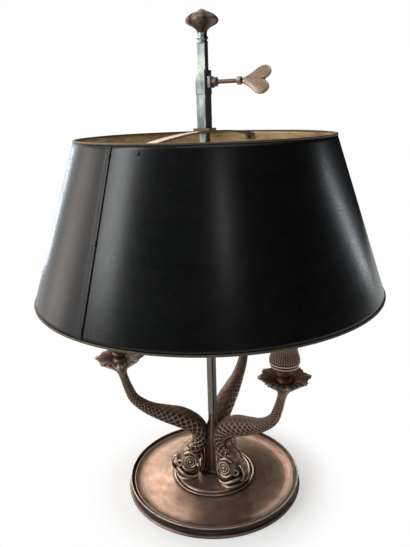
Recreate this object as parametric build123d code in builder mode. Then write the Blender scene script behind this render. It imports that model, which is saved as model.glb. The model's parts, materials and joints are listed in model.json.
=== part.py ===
from build123d import *
import os
from math import cos, degrees, radians, sin, sqrt, tan

# Three-light bouillotte table lamp, in millimetres, +Z up, origin at the middle of the foot.
# A spun dish carries a plinth. Three cast dolphins stand on their chins round a column, and
# their tails carry drip pans, candle cups and candle lampholders. A square rod rises through
# the column. A painted metal shade hangs from a square slider on that rod, held by a wing key.
# The key points to +X and one dolphin faces +Y. The three were set by hand, not quite evenly.

# ---------------------------------------------------------------- driving dimensions
# dish
base_radius = 114.5          # outside of the foot bead
bead_overhang = 1.8          # how far the bead stands out from the wall
bead_height = 3.0
foot_width = 6.0             # flat ring that the lamp stands on
rim_height = 13.5            # top of the dish's rim
rim_width = 6.5              # the rim, across
rim_rounding = 1.5           # height of the rim's rounded top
dish_wall = 1.4              # thickness of the spun metal
well_depth = 6.0             # lowest ring of the well, below the rim's top
well_corner = 5.0            # width of the hollow corner beside the rim
well_crown = 1.8             # rise of the well's floor half way to the middle
plateau_height = 12.0        # top of the dish's raised middle
ledge_width = 3.0            # ledge that the bottom cover is pressed against
# underside
felt_lift = 0.3              # the felt stays this far above the surface under the foot
felt_thickness = 1.0
cover_thickness = 0.8
washer_radius = 14.0
washer_thickness = 1.6
nut_across_flats = 13.0
nut_height = 4.0
thread_showing = 1.0         # tenon below the nut
# plinth
plinth_radius = 54.5
plinth_step = 6.0            # how far the plinth's top stands in from its foot
plinth_step_height = 1.4
plinth_height = 3.0
# rod and column
rod_side = 9.0               # square section
rod_above_collar = 27.5      # room for the shade to rise, up to the finial
tenon_radius = 4.0
top_tenon_radius = 2.5
top_tenon_length = 12.0
column_radius = 9.5
column_height = 86.0         # above the plinth
column_foot_radius = 13.0
column_foot_height = 4.0
# finial
finial_foot_radius = 6.5
finial_bead_radius = 6.5
finial_neck_radius = 5.2
finial_waist_radius = 4.2      # between the foot and the bead
finial_neck_height = 10.5
knob_radius = 18.0
knob_height = 23.5
knob_flutes = 6
knob_flute_radius = 2.6
knob_flute_bearing = 8.5       # first flute, from +X towards +Y, in degrees
knob_shoulder = (0.72, 0.76)   # shares of the knob's radius and height, as in the next lines
knob_middle = 0.48
knob_underside = (0.70, 0.22)
# dolphins
arm_reach = 115.0            # lamp's axis to candle's axis
tail_height = 182.0          # top of the tail, under the drip pan
tail_top_radius = 12.0
body_thickness = 16.0        # half thickness of the body at its thickest
body_width = 13.5            # half width of the body there
head_width = 18.5            # half width across the cheeks
head_depth = 17.0            # half depth from brow to throat
lip_radius = 4.5
lip_span = 28.0
lip_reach = 46.8             # lamp's axis to the lips
lip_rise = 6.5               # plinth to the middle of the lips
eye_radius = 5.0
eye_bulge = 1.0              # how far the eye stands out beyond the cheeks' widest
eye_reach = 34.5
eye_rise = 25.0              # plinth to the middle of the eye
flex_drop_reach = 32.5       # lamp's axis to the flex's way through the plinth
flex_window_radius = 3.6     # hole in plinth and dish, wide enough for the flex to bend
channel_radius = 2.1         # bore for the flex
flex_radius = 1.5
flex_overrun = 3.0           # straight flex below the riser
dolphin_screw_radius = 2.0
dolphin_screw_head_radius = 3.6
dolphin_screw_head_height = 2.2
dolphin_screw_reach = 39.5   # lamp's axis to the screw
dolphin_screw_grip = 9.0     # thread inside the chin
# candle lights
riser_radius = 4.8
riser_bore = 2.8
riser_grip = 7.0             # riser's thread inside the tail
pan_radius = 30.0
pan_lobes = 8
pan_lobe_radius = 9.0
pan_wall = 1.6
pan_depth = 11.0             # rim of the pan above its middle
pan_swell = (0.72, 0.62)     # its underside passes here, in shares of radius and depth
pan_seat_thickness = 2.6
cup_height = 56.0
cup_foot_radius = 9.0
cup_foot_height = 3.0
cup_stem_radius = 6.8
cup_bulge_radius = 17.8
cup_bulge_height = 27.0      # above the cup's foot
cup_body_radius = 14.3
cup_waist_height = 44.0       # above the cup's foot
cup_lip_radius = 16.0
cup_lip_height = 3.0
cup_wall = 1.3
cup_floor = 20.0             # inside floor, above the cup's foot
riser_nut_across_flats = 14.0
riser_nut_height = 4.0
sleeve_radius = 12.2
sleeve_wall = 0.9
sleeve_length = 96.0
holder_wall = 2.2
holder_floor = 9.0
shell_wall = 0.5
shell_height = 22.0
cap_radius = 6.9
cap_height = 24.0
cap_standout = 1.5           # bulb's cap above the candle's top
bulb_radius = 17.5
bulb_length = 74.0           # glass above the cap
bulb_seat = (0.80, 0.16)     # shares of the bulb's radius and length, as in the next lines
bulb_middle = 0.38
bulb_flame = (0.68, 0.76)
bulb_tip = 0.08
bulb_neck_radius = 6.4
bulb_wall = 1.0
# slider and key
slide_clearance = 0.15       # between rod and slider, on each side
slider_side = 12.8
slider_length = 36.0
collar_side = 13.8
collar_length = 25.5
boss_side = 12.0             # block that the key screws into
boss_depth = 4.0
key_thread_radius = 2.5
key_thread_clearance = 0.06
key_tip_gap = 0.1            # tip of the key's thread to the rod's face
key_shoulder_radius = 5.0
key_shoulder_length = 5.0
key_shoulder_gap = 0.3
key_shaft_radius = 2.3
key_shaft_length = 24.0
key_root_radius = 4.4
key_root_length = 5.0
wing_length = 32.0
wing_lobe_radius = 8.2
wing_lobe_spacing = 16.0
wing_notch_radius = 5.0
wing_thickness = 4.2
key_rest_angle = 25.0        # lean of the wings towards +Y, in degrees
# spider and shade
slider_height = 459.0        # underside of the hub, above the foot
hub_side = 20.0
hub_thickness = 3.0
spider_width = 12.0
spider_thickness = 2.0
spider_arch = 8.7            # drop of the spider's top from its middle to its ends
spider_tab = 9.0             # turned-down end that is riveted to the shade
shade_top_radius = 146.4
shade_bottom_radius = 205.2
shade_height = 177.0
shade_drop = 6.0             # shade's top below the hub
shade_wall = 0.5
rim_wire_radius = 1.8
lap_width = 7.0              # overlap of the sheet at its seam
lap_bearing = -13.5          # seam, from -Y towards +X, in degrees
rivet_radius = 1.3
rivet_head_radius = 2.4
rivet_head_height = 1.0
lap_rivets = 3
rivet_margin = 10.0          # last rivet of the lap from the shade's edge
# mains inlet
inlet_width = 5.6            # slot for a flat twin flex
inlet_height = 3.0
inlet_wall = 0.6
inlet_flange = 1.0
inlet_flange_margin = 0.8
block_length = 24.0
block_width = 11.0
block_height = 6.2
block_reach = 38.0           # lamp's axis to the middle of the terminal block
block_bearing = 150.0        # from +X towards +Y, in degrees
block_screw_radius = 1.5
block_screw_head_radius = 2.8
block_screw_head_height = 1.6
block_screw_grip = 4.0
wire_level = 6.5             # height of the flexes under the dish

# clearances that pieces share
loose_fit = 0.1              # radial clearance of a tube or screw in its hole
cast_fit = 0.05              # between a casting's saddle and what it bears on
sheet_gap = 0.15             # flat tab beside a curved sheet
shell_gap = 0.3              # lampholder's shell to the parts around it

# ---------------------------------------------------------------- derived sizes
rim_outer = base_radius - bead_overhang
rim_inner = rim_outer - rim_width
well_floor = rim_height - well_depth
cover_radius = base_radius - foot_width
cover_bottom = felt_lift + felt_thickness
cover_top = cover_bottom + cover_thickness
hollow_radius = cover_radius - ledge_width
plateau_under = plateau_height - dish_wall
plinth_top = plateau_height + plinth_height
washer_bottom = plateau_under - washer_thickness
nut_bottom = washer_bottom - nut_height
pan_seat = tail_height
cup_foot = pan_seat + pan_seat_thickness
cup_inside = cup_foot + cup_floor
cup_bore = cup_body_radius - cup_wall
riser_bottom = tail_height - riser_grip
sleeve_top = cup_inside + sleeve_length
holder_radius = sleeve_radius - sleeve_wall - shell_gap
cap_top = sleeve_top + cap_standout
cap_bottom = cap_top - cap_height
holder_inside = cap_bottom - shell_gap
holder_bottom = holder_inside - holder_floor
riser_top = holder_inside - loose_fit
shell_radius = cap_radius + shell_gap + shell_wall
hub_top = slider_height + hub_thickness
collar_bottom = hub_top + slider_length
collar_top = collar_bottom + collar_length
rod_top = collar_top + rod_above_collar      # shoulder under the finial
knob_bottom = rod_top + finial_neck_height
key_height = collar_bottom + collar_length / 2
slider_bore = rod_side + 2 * slide_clearance
boss_face = collar_side / 2 + boss_depth
shoulder_start = boss_face + key_shoulder_gap
shaft_start = shoulder_start + key_shoulder_length
root_start = shaft_start + key_shaft_length
wing_start = root_start + key_root_length
shade_top = slider_height - shade_drop
shade_bottom = shade_top - shade_height
shade_slope = (shade_bottom_radius - shade_top_radius) / shade_height
arm_angles = {"right": -20.0, "back": 87.5, "left": 212.0}

os.makedirs("parts", exist_ok=True)


def save(part, name):
    part.label = name
    export_step(part, f"parts/{name}.step")


def turned(*outline):
    """A solid turned on the Z axis from a closed outline of (radius, height) points."""
    with BuildPart() as piece:
        with BuildSketch(Plane.XZ):
            with BuildLine():
                Polyline(*outline, close=True)
            make_face()
        revolve(axis=Axis.Z)
    return piece.part


def tube(outer, inner, bottom, top):
    return turned((inner, bottom), (outer, bottom), (outer, top), (inner, top))


def save_at_arms(part, name, reach=0.0):
    """Writes one copy at each arm, after moving the piece out along the arm."""
    for side, angle in arm_angles.items():
        save(part.moved(Location((0, 0, 0), (0, 0, angle)) * Location((reach, 0, 0))),
             f"{name}_{side}")


def smooth_radii(points):
    """Corner radii that let each arc use up to 0.45 of the shorter run beside it."""
    radii = []
    for before, corner, after in zip(points, points[1:], points[2:]):
        run_in = Vector(corner) - Vector(before)
        run_out = Vector(after) - Vector(corner)
        turn = radians(run_in.get_angle(run_out))
        radii.append(0.45 * min(run_in.length, run_out.length) / tan(turn / 2))
    return radii


def swept_round(points, radius):
    """A round rod along straight runs that are joined by tangent arcs."""
    with BuildLine() as route:
        FilletPolyline(*points, radius=smooth_radii(points))
    with BuildPart() as piece:
        with BuildSketch(Plane(origin=route.line @ 0, z_dir=route.line % 0)):
            Circle(radius)
        sweep(path=route.line)
    return piece.part


# ---------------------------------------------------------------- dish
wall_top = rim_height - rim_rounding
with BuildPart() as base_dish:
    with BuildSketch(Plane.XZ):
        with BuildLine():
            middle = Line((tenon_radius + loose_fit, plateau_height), (plinth_radius, plateau_height))
            corner_start = (rim_inner - well_corner, well_floor)
            halfway = ((plinth_radius + corner_start[0]) / 2, well_floor + well_crown)
            ThreePointArc(middle @ 1, halfway, corner_start)
            RadiusArc(corner_start, (rim_inner, wall_top), -well_corner)
            rim = ThreePointArc(
                (rim_inner, wall_top), ((rim_inner + rim_outer) / 2, rim_height), (rim_outer, wall_top)
            )
            wall = Line(rim @ 1, (rim_outer, bead_height))
            ThreePointArc(wall @ 1, (base_radius, bead_height / 2), (rim_outer, 0))
            under_corner = (corner_start[0], well_floor - dish_wall)
            Polyline(
                (rim_outer, 0),
                (cover_radius, 0),
                (cover_radius, cover_top),
                (hollow_radius, cover_top),
                (hollow_radius, well_floor - dish_wall),
                under_corner,
            )
            ThreePointArc(
                under_corner, (halfway[0], halfway[1] - dish_wall), (plinth_radius, plateau_under)
            )
            Polyline(
                (plinth_radius, plateau_under),
                (tenon_radius + loose_fit, plateau_under),
                (tenon_radius + loose_fit, plateau_height),
            )
        make_face()
    revolve(axis=Axis.Z)
    # slot and flat seat for the mains inlet, at the back
    inlet_middle = cover_top + inlet_wall + inlet_height / 2
    inlet_seat = rim_outer - inlet_flange_margin / 2
    with BuildSketch(Plane.XZ.offset(-inlet_seat)):
        with Locations((0, inlet_middle)):
            Rectangle(inlet_width + 2 * inlet_wall, inlet_height + 2 * inlet_wall)
    extrude(amount=inlet_seat - hollow_radius + dish_wall, mode=Mode.SUBTRACT)
    with BuildSketch(Plane.XZ.offset(-inlet_seat)):
        with Locations((0, inlet_middle)):
            Rectangle(
                inlet_width + 2 * (inlet_wall + inlet_flange_margin + loose_fit),
                inlet_height + 2 * (inlet_wall + inlet_flange_margin + loose_fit),
            )
    extrude(amount=-(base_radius - inlet_seat), mode=Mode.SUBTRACT)


def drilled_for_dolphins(part):
    """The part with holes for each dolphin's screw and flex, and for the terminal block's screw."""
    with BuildPart() as piece:
        add(part)
        with BuildSketch(Plane.XY):
            for angle in arm_angles.values():
                with PolarLocations(dolphin_screw_reach, 1, angle):
                    Circle(dolphin_screw_radius + loose_fit)
                with PolarLocations(flex_drop_reach, 1, angle):
                    Circle(flex_window_radius)
            with PolarLocations(block_reach, 1, block_bearing):
                Circle(block_screw_radius + loose_fit)
        extrude(amount=plinth_top, mode=Mode.SUBTRACT)
    return piece.part


save(drilled_for_dolphins(base_dish.part), "base_dish")

# ---------------------------------------------------------------- underside
save(tube(washer_radius, tenon_radius + loose_fit, washer_bottom, plateau_under), "base_washer")
save(tube(cover_radius - loose_fit, 0.0, cover_bottom, cover_top), "bottom_cover")
save(tube(cover_radius - loose_fit, 0.0, felt_lift, cover_bottom), "base_felt")

with BuildPart() as base_nut:
    with BuildSketch(Plane.XY.offset(nut_bottom)):
        RegularPolygon(nut_across_flats / 2, 6, major_radius=False)
        Circle(tenon_radius, mode=Mode.SUBTRACT)
    extrude(amount=nut_height)
save(base_nut.part, "base_nut")

with BuildPart() as cord_inlet:
    with BuildSketch(Plane.XZ.offset(-inlet_seat)):
        with Locations((0, inlet_middle)):
            Rectangle(inlet_width + 2 * inlet_wall - loose_fit, inlet_height + 2 * inlet_wall - loose_fit)
    extrude(amount=inlet_seat - cover_radius)
    with BuildSketch(Plane.XZ.offset(-inlet_seat)):
        with Locations((0, inlet_middle)):
            RectangleRounded(
                inlet_width + 2 * (inlet_wall + inlet_flange_margin),
                inlet_height + 2 * (inlet_wall + inlet_flange_margin),
                inlet_flange_margin,
            )
    extrude(amount=-inlet_flange)
    with BuildSketch(Plane.XZ.offset(-inlet_seat - inlet_flange)):
        with Locations((0, inlet_middle)):
            SlotOverall(inlet_width, inlet_height)
    extrude(amount=base_radius, mode=Mode.SUBTRACT)
save(cord_inlet.part, "cord_inlet")

# the terminal block hangs under the dish, and its wires enter from the lamp's middle
block_bottom = plateau_under - block_height
with BuildPart() as terminal_block:
    with BuildSketch(Plane.XY.offset(block_bottom)):
        with Locations((block_reach, 0)):
            RectangleRounded(block_width, block_length, block_width / 8)
            Circle(block_screw_radius + loose_fit, mode=Mode.SUBTRACT)
    extrude(amount=block_height)
save(terminal_block.part.rotate(Axis.Z, block_bearing), "terminal_block")

with BuildPart() as block_screw:
    with BuildSketch(Plane.XY.offset(block_bottom - block_screw_head_height)):
        with Locations((block_reach, 0)):
            Circle(block_screw_head_radius)
    extrude(amount=block_screw_head_height)
    with BuildSketch(Plane.XY.offset(block_bottom)):
        with Locations((block_reach, 0)):
            Circle(block_screw_radius)
    extrude(amount=block_height + dish_wall + block_screw_grip)
save(block_screw.part.rotate(Axis.Z, block_bearing), "block_screw")

# ---------------------------------------------------------------- plinth, column and rod
step_top = plateau_height + plinth_step_height
plinth = turned(
    (tenon_radius + loose_fit, plateau_height),
    (plinth_radius, plateau_height),
    (plinth_radius, plateau_height + plinth_step_height / 2),
    (plinth_radius - plinth_step / 2, step_top),
    (plinth_radius - plinth_step, step_top),
    (plinth_radius - plinth_step, plinth_top),
    (tenon_radius + loose_fit, plinth_top),
)
save(drilled_for_dolphins(plinth), "plinth")

with BuildPart() as column:
    with BuildSketch(Plane.XY.offset(plinth_top)):
        Circle(column_foot_radius)
    extrude(amount=column_foot_height)
    with BuildSketch(Plane.XY.offset(plinth_top)):
        Circle(column_radius)
    extrude(amount=column_height)
    with BuildSketch(Plane.XY.offset(plinth_top)):
        Rectangle(rod_side + 2 * loose_fit, rod_side + 2 * loose_fit)
    extrude(amount=column_height, mode=Mode.SUBTRACT)
save(column.part, "column")

with BuildPart() as rod:
    with BuildSketch(Plane.XY.offset(nut_bottom - thread_showing)):
        Circle(tenon_radius)
    extrude(amount=plinth_top - nut_bottom + thread_showing)
    with BuildSketch(Plane.XY.offset(plinth_top)):
        Rectangle(rod_side, rod_side)
    extrude(amount=rod_top - plinth_top)
    with BuildSketch(Plane.XY.offset(rod_top)):
        Circle(top_tenon_radius)
    extrude(amount=top_tenon_length)
save(rod.part, "rod")

# ---------------------------------------------------------------- finial
tenon_end = rod_top + top_tenon_length
# Outline of the neck: radius, and height as a share of the neck's.
neck_outline = [
    (top_tenon_radius, 0.0),
    (finial_foot_radius, 0.0),
    (finial_foot_radius, 0.12),
    (finial_waist_radius, 0.24),
    (finial_bead_radius, 0.40),
    (finial_bead_radius, 0.56),
    (finial_neck_radius, 0.72),
    (finial_neck_radius, 1.0),
    (top_tenon_radius, 1.0),
]
finial_neck = turned(
    *[(radius, rod_top + share * finial_neck_height) for radius, share in neck_outline]
)
save(finial_neck, "finial_neck")

knob_top = knob_bottom + knob_height
knob_widest = (knob_radius, knob_bottom + knob_height * knob_middle)
with BuildPart() as finial_knob:
    with BuildSketch(Plane.XZ):
        with BuildLine():
            Line((0, tenon_end), (0, knob_top))
            ThreePointArc(
                (0, knob_top),
                (knob_radius * knob_shoulder[0], knob_bottom + knob_height * knob_shoulder[1]),
                knob_widest,
            )
            ThreePointArc(
                knob_widest,
                (knob_radius * knob_underside[0], knob_bottom + knob_height * knob_underside[1]),
                (finial_neck_radius, knob_bottom),
            )
            Polyline(
                (finial_neck_radius, knob_bottom),
                (top_tenon_radius, knob_bottom),
                (top_tenon_radius, tenon_end),
                (0, tenon_end),
            )
        make_face()
    revolve(axis=Axis.Z)
    with BuildSketch(Plane.XY.offset(knob_bottom)):
        with PolarLocations(knob_radius + knob_flute_radius / 3, knob_flutes, knob_flute_bearing):
            Circle(knob_flute_radius)
    extrude(amount=knob_height, mode=Mode.SUBTRACT)
save(finial_knob.part, "finial_knob")

# ---------------------------------------------------------------- dolphins
# Middle line from the chin to the tail, as shares of the arm's reach beyond the column and of
# the tail's height above the plinth. Half sizes are shares of the head's or the body's.
reach = arm_reach - column_radius
rise = tail_height - plinth_top
head_line = [
    # out,  up,    depth, width
    (0.275, 0.000, 0.66, 0.72),
    (0.268, 0.060, 0.90, 0.90),
    (0.246, 0.125, 0.98, 0.97),
    (0.208, 0.200, 0.90, 0.90),
    (0.152, 0.265, 0.72, 0.76),
]
body_line = [
    (0.096, 0.335, 0.66, 0.86),
    (0.114, 0.405, 0.76, 0.94),
    (0.195, 0.462, 0.82, 0.98),
    (0.330, 0.508, 0.84, 0.93),
    (0.475, 0.540, 0.73, 0.84),
    (0.685, 0.601, 0.57, 0.66),
    (0.850, 0.690, 0.43, 0.50),
    (0.915, 0.785, 0.37, 0.43),
    (0.950, 0.870, 0.34, 0.41),
    (0.980, 0.935, 0.36, 0.50),
]
sections = [
    (column_radius + out * reach, plinth_top + up * rise, depth * head_depth, width * head_width)
    for out, up, depth, width in head_line
]
sections += [
    (column_radius + out * reach, plinth_top + up * rise, thick * body_thickness, wide * body_width)
    for out, up, thick, wide in body_line
]
sections.append((arm_reach, tail_height, tail_top_radius, tail_top_radius))


def section_slope(number):
    """Direction of the middle line at a section. The chin and the tail's end lie level."""
    if number in (0, len(sections) - 1):
        return Vector(0, 0, 1)
    before, after = sections[number - 1], sections[number + 1]
    return Vector(after[0] - before[0], 0, after[1] - before[1])


with BuildPart() as fish:
    for number, (out, up, thick, wide) in enumerate(sections):
        with BuildSketch(Plane(origin=(out, 0, up), x_dir=(0, 1, 0), z_dir=section_slope(number))):
            Ellipse(wide, thick)
    loft()

# The flex runs down inside the body: (distance from the lamp's axis, height) of each bend
channel_line = [
    (arm_reach, riser_bottom - flex_overrun),
    (column_radius + 0.945 * reach, plinth_top + 0.865 * rise),
    (column_radius + 0.885 * reach, plinth_top + 0.740 * rise),
    (column_radius + 0.760 * reach, plinth_top + 0.637 * rise),
    (column_radius + 0.555 * reach, plinth_top + 0.562 * rise),
    (column_radius + 0.345 * reach, plinth_top + 0.515 * rise),
    (column_radius + 0.190 * reach, plinth_top + 0.452 * rise),
    (column_radius + 0.108 * reach, plinth_top + 0.345 * rise),
    (column_radius + 0.135 * reach, plinth_top + 0.225 * rise),
    (flex_drop_reach, plinth_top + 0.080 * rise),
]
channel_points = [(arm_reach, 0, riser_top)] + [(out, 0, up) for out, up in channel_line]
channel_points.append((flex_drop_reach, 0, wire_level))

with BuildPart() as dolphin:
    add(fish.part)
    # rolled lips across the front, and an eye on each cheek
    with BuildSketch(Plane(origin=(lip_reach, 0, plinth_top + lip_rise), z_dir=(0, 1, 0))):
        Circle(lip_radius)
    extrude(amount=lip_span / 2, both=True)
    with BuildSketch(Plane(origin=(eye_reach, 0, plinth_top + eye_rise), z_dir=(0, 1, 0))):
        Circle(eye_radius)
    extrude(amount=head_width + eye_bulge, both=True)
    # the nape is hollowed for the column
    with BuildSketch(Plane.XY.offset(plinth_top)):
        Circle(column_radius + cast_fit)
    extrude(amount=rise, mode=Mode.SUBTRACT)
    # bores for the riser, the screw and the flex
    with BuildSketch(Plane.XY.offset(riser_bottom)):
        with Locations((arm_reach, 0)):
            Circle(riser_radius)
    extrude(amount=riser_grip, mode=Mode.SUBTRACT)
    with BuildSketch(Plane.XY.offset(plinth_top)):
        with Locations((dolphin_screw_reach, 0)):
            Circle(dolphin_screw_radius)
    extrude(amount=dolphin_screw_grip, mode=Mode.SUBTRACT)
    add(swept_round(channel_points, channel_radius), mode=Mode.SUBTRACT)
save_at_arms(dolphin.part, "dolphin")

with BuildPart() as dolphin_screws:
    for angle in arm_angles.values():
        with BuildSketch(Plane.XY.offset(plateau_under - dolphin_screw_head_height)):
            with PolarLocations(dolphin_screw_reach, 1, angle):
                Circle(dolphin_screw_head_radius)
        extrude(amount=dolphin_screw_head_height)
        with BuildSketch(Plane.XY.offset(plateau_under)):
            with PolarLocations(dolphin_screw_reach, 1, angle):
                Circle(dolphin_screw_radius)
        extrude(amount=plinth_top - plateau_under + dolphin_screw_grip)
save(dolphin_screws.part, "dolphin_screws")

# ---------------------------------------------------------------- candle lights
# Each piece is turned on the Z axis and then moved out to the arms.
save_at_arms(tube(riser_radius, riser_bore, riser_bottom, riser_top), "riser", arm_reach)

pan_rim = pan_seat + pan_depth
with BuildPart() as drip_pan:
    with BuildSketch(Plane.XZ):
        with BuildLine():
            bottom = Line((riser_radius + loose_fit, pan_seat), (tail_top_radius, pan_seat))
            under = ThreePointArc(
                bottom @ 1,
                (pan_radius * pan_swell[0], pan_seat + pan_depth * pan_swell[1]),
                (pan_radius, pan_rim - pan_wall),
            )
            edge = Line(under @ 1, (pan_radius, pan_rim))
            upper = ThreePointArc(
                edge @ 1,
                (pan_radius * pan_swell[0] - pan_wall, pan_seat + pan_depth * pan_swell[1] + pan_wall),
                (cup_foot_radius + pan_wall, cup_foot),
            )
            Polyline(upper @ 1, (riser_radius + loose_fit, cup_foot), bottom @ 0)
        make_face()
    revolve(axis=Axis.Z)
    with BuildSketch(Plane.XY.offset(pan_seat)):
        Circle(pan_radius - pan_lobe_radius / 3)
        with PolarLocations(pan_radius - pan_lobe_radius, pan_lobes, 180 / pan_lobes):
            Circle(pan_lobe_radius)
    extrude(amount=pan_depth, mode=Mode.INTERSECT)
save_at_arms(drip_pan.part, "drip_pan", arm_reach)

with BuildPart() as candle_cup:
    with BuildSketch(Plane.XZ):
        with BuildLine():
            bulge = (cup_bulge_radius, cup_foot + cup_bulge_height)
            stem_top = cup_inside - cup_wall - cup_foot_height
            foot = Polyline(
                (riser_radius + loose_fit, cup_foot),
                (cup_foot_radius, cup_foot),
                (cup_foot_radius, cup_foot + cup_foot_height),
                (cup_stem_radius, cup_foot + 2 * cup_foot_height),
                (cup_stem_radius, stem_top),
            )
            belly = ThreePointArc(
                foot @ 1, ((cup_stem_radius + cup_bulge_radius) / 2 + cup_wall, cup_inside), bulge
            )
            neck = (cup_body_radius, cup_foot + cup_height - 2 * cup_lip_height)
            Polyline(
                belly @ 1,
                (cup_body_radius, cup_foot + cup_waist_height),
                neck,
                (cup_lip_radius, neck[1] + cup_lip_height),
                (cup_lip_radius, cup_foot + cup_height),
                (cup_bore, cup_foot + cup_height),
                (cup_bore, cup_inside),
                (riser_radius + loose_fit, cup_inside),
                foot @ 0,
            )
        make_face()
    revolve(axis=Axis.Z)
save_at_arms(candle_cup.part, "candle_cup", arm_reach)

with BuildPart() as riser_nut:
    with BuildSketch(Plane.XY.offset(cup_inside)):
        RegularPolygon(riser_nut_across_flats / 2, 6, major_radius=False)
        Circle(riser_radius, mode=Mode.SUBTRACT)
    extrude(amount=riser_nut_height)
save_at_arms(riser_nut.part, "riser_nut", arm_reach)

sleeve = tube(sleeve_radius, sleeve_radius - sleeve_wall, cup_inside, sleeve_top)
save_at_arms(sleeve, "candle_sleeve", arm_reach)

holder = turned(
    (riser_radius, holder_bottom),
    (holder_radius, holder_bottom),
    (holder_radius, sleeve_top),
    (holder_radius - holder_wall, sleeve_top),
    (holder_radius - holder_wall, holder_inside),
    (riser_radius, holder_inside),
)
save_at_arms(holder, "lampholder", arm_reach)

contact_shell = tube(shell_radius, shell_radius - shell_wall, holder_inside, holder_inside + shell_height)
save_at_arms(contact_shell, "holder_shell", arm_reach)

bulb_cap = tube(cap_radius, 0.0, cap_bottom, cap_top)
save_at_arms(bulb_cap, "bulb_cap", arm_reach)


def bulb_solid(shrink):
    """The candle bulb's glass as a solid, drawn in by a wall's thickness."""
    widest = (bulb_radius - shrink, cap_top + bulb_length * bulb_middle)
    with BuildPart() as piece:
        with BuildSketch(Plane.XZ):
            with BuildLine():
                seat = Line((0, cap_top + shrink), (bulb_neck_radius - shrink, cap_top + shrink))
                shoulder = ThreePointArc(
                    seat @ 1,
                    (bulb_radius * bulb_seat[0] - shrink, cap_top + bulb_length * bulb_seat[1]),
                    widest,
                )
                flame = ThreePointArc(
                    shoulder @ 1,
                    (bulb_radius * bulb_flame[0] - shrink, cap_top + bulb_length * bulb_flame[1]),
                    (bulb_radius * bulb_tip, cap_top + bulb_length - shrink),
                )
                Polyline(flame @ 1, (0, cap_top + bulb_length - shrink), seat @ 0)
            make_face()
        revolve(axis=Axis.Z)
    return piece.part


with BuildPart() as bulb_glass:
    add(bulb_solid(0.0))
    add(bulb_solid(bulb_wall), mode=Mode.SUBTRACT)
save_at_arms(bulb_glass.part, "bulb_glass", arm_reach)

# ---------------------------------------------------------------- flexes
# Each flex runs from its lampholder down the riser and the dolphin, then under the dish to the
# terminal block. The last points are in the block's own frame: along its bearing, and across.
wire_spacing = block_length / 3
block_face = block_reach - block_width / 2
under_routes = {
    "back": [(23.0, -18.5), (25.0, -wire_spacing), (block_face, -wire_spacing)],
    "left": [(23.0, 18.5), (25.0, wire_spacing), (block_face, wire_spacing)],
    "right": [(-28.0, -18.0), (-8.0, -24.0), (14.0, -16.0), (25.0, 0.0), (block_face, 0.0)],
}


def in_block_frame(along, across):
    turn = radians(block_bearing)
    return (along * cos(turn) - across * sin(turn), along * sin(turn) + across * cos(turn), wire_level)


for side, angle in arm_angles.items():
    turn = radians(angle)
    route = [(out * cos(turn), out * sin(turn), up) for out, _, up in channel_points]
    route += [in_block_frame(along, across) for along, across in under_routes[side]]
    save(swept_round(route, flex_radius), f"arm_flex_{side}")
    print(f"arm_flex_{side} radii", [round(radius, 1) for radius in smooth_radii(route)])

# ---------------------------------------------------------------- slider and key
def square_tube(outside, inside, bottom, length):
    with BuildPart() as piece:
        with BuildSketch(Plane.XY.offset(bottom)):
            Rectangle(outside, outside)
            Rectangle(inside, inside, mode=Mode.SUBTRACT)
        extrude(amount=length)
    return piece.part


save(square_tube(hub_side, slider_bore, slider_height, hub_thickness), "spider_hub")
save(square_tube(slider_side, slider_bore, hub_top, slider_length), "slider_tube")

with BuildPart() as clamp_collar:
    add(square_tube(collar_side, slider_bore, collar_bottom, collar_length))
    with BuildSketch(Plane.YZ.offset(collar_side / 2)):
        with Locations((0, key_height)):
            Rectangle(boss_side, boss_side)
    extrude(amount=boss_depth)
    with BuildSketch(Plane.YZ.offset(slider_bore / 2)):
        with Locations((0, key_height)):
            Circle(key_thread_radius + key_thread_clearance)
    extrude(amount=boss_face, mode=Mode.SUBTRACT)
save(clamp_collar.part, "clamp_collar")


def along_key(*stretches):
    """A round bar on the key's axis from (start, end, radius) stretches."""
    with BuildPart() as piece:
        for start, end, radius in stretches:
            with BuildSketch(Plane.YZ.offset(start)):
                with Locations((0, key_height)):
                    Circle(radius)
            extrude(amount=end - start)
    return piece.part


key_screw = along_key(
    (rod_side / 2 + key_tip_gap, shoulder_start, key_thread_radius),
    (shoulder_start, shaft_start, key_shoulder_radius),
    (shaft_start, root_start, key_shaft_radius),
)
save(key_screw, "key_screw")

with BuildPart() as key_wing:
    with BuildSketch(Plane.YZ.offset(root_start)):
        Circle(key_root_radius)
    extrude(amount=key_root_length)
    lobe_middle = wing_start + wing_length - wing_lobe_radius
    with BuildSketch(Plane.XZ):
        with BuildLine():
            for middle in ((lobe_middle, wing_lobe_spacing / 2), (lobe_middle, -wing_lobe_spacing / 2)):
                CenterArc(middle, wing_lobe_radius, 0, 360)
            CenterArc((wing_start, 0), key_root_radius, 0, 360)
        make_hull()
        with Locations((wing_start + wing_length + wing_notch_radius / 2, 0)):
            Circle(wing_notch_radius, mode=Mode.SUBTRACT)
    extrude(amount=wing_thickness / 2, both=True)
turned_wing = key_wing.part.rotate(Axis.X, -key_rest_angle)
save(turned_wing.moved(Location((0, 0, key_height))), "key_wing")

# ---------------------------------------------------------------- shade and spider
slant = sqrt(1 + shade_slope**2)


def shade_radius(height, depth=0.0):
    """Radius of the sheet's outside at a height, or of a layer that deep inside it."""
    return shade_bottom_radius - (height - shade_bottom) * shade_slope - depth * slant


def bearing_plane(bearing):
    """An upright plane through the lamp's axis. Its x is outwards, at an angle from -Y to +X."""
    out = (sin(radians(bearing)), -cos(radians(bearing)), 0)
    return Plane(origin=(0, 0, 0), x_dir=out, z_dir=(out[1], -out[0], 0))


def sheet_section(depth):
    """The sheet's section, with its outside at a depth below the shade's outside."""
    ends = (shade_bottom, shade_top)
    outer = [(shade_radius(up, depth), up) for up in ends]
    inner = [(shade_radius(up, depth + shade_wall), up) for up in ends]
    return outer + inner[::-1]


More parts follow.
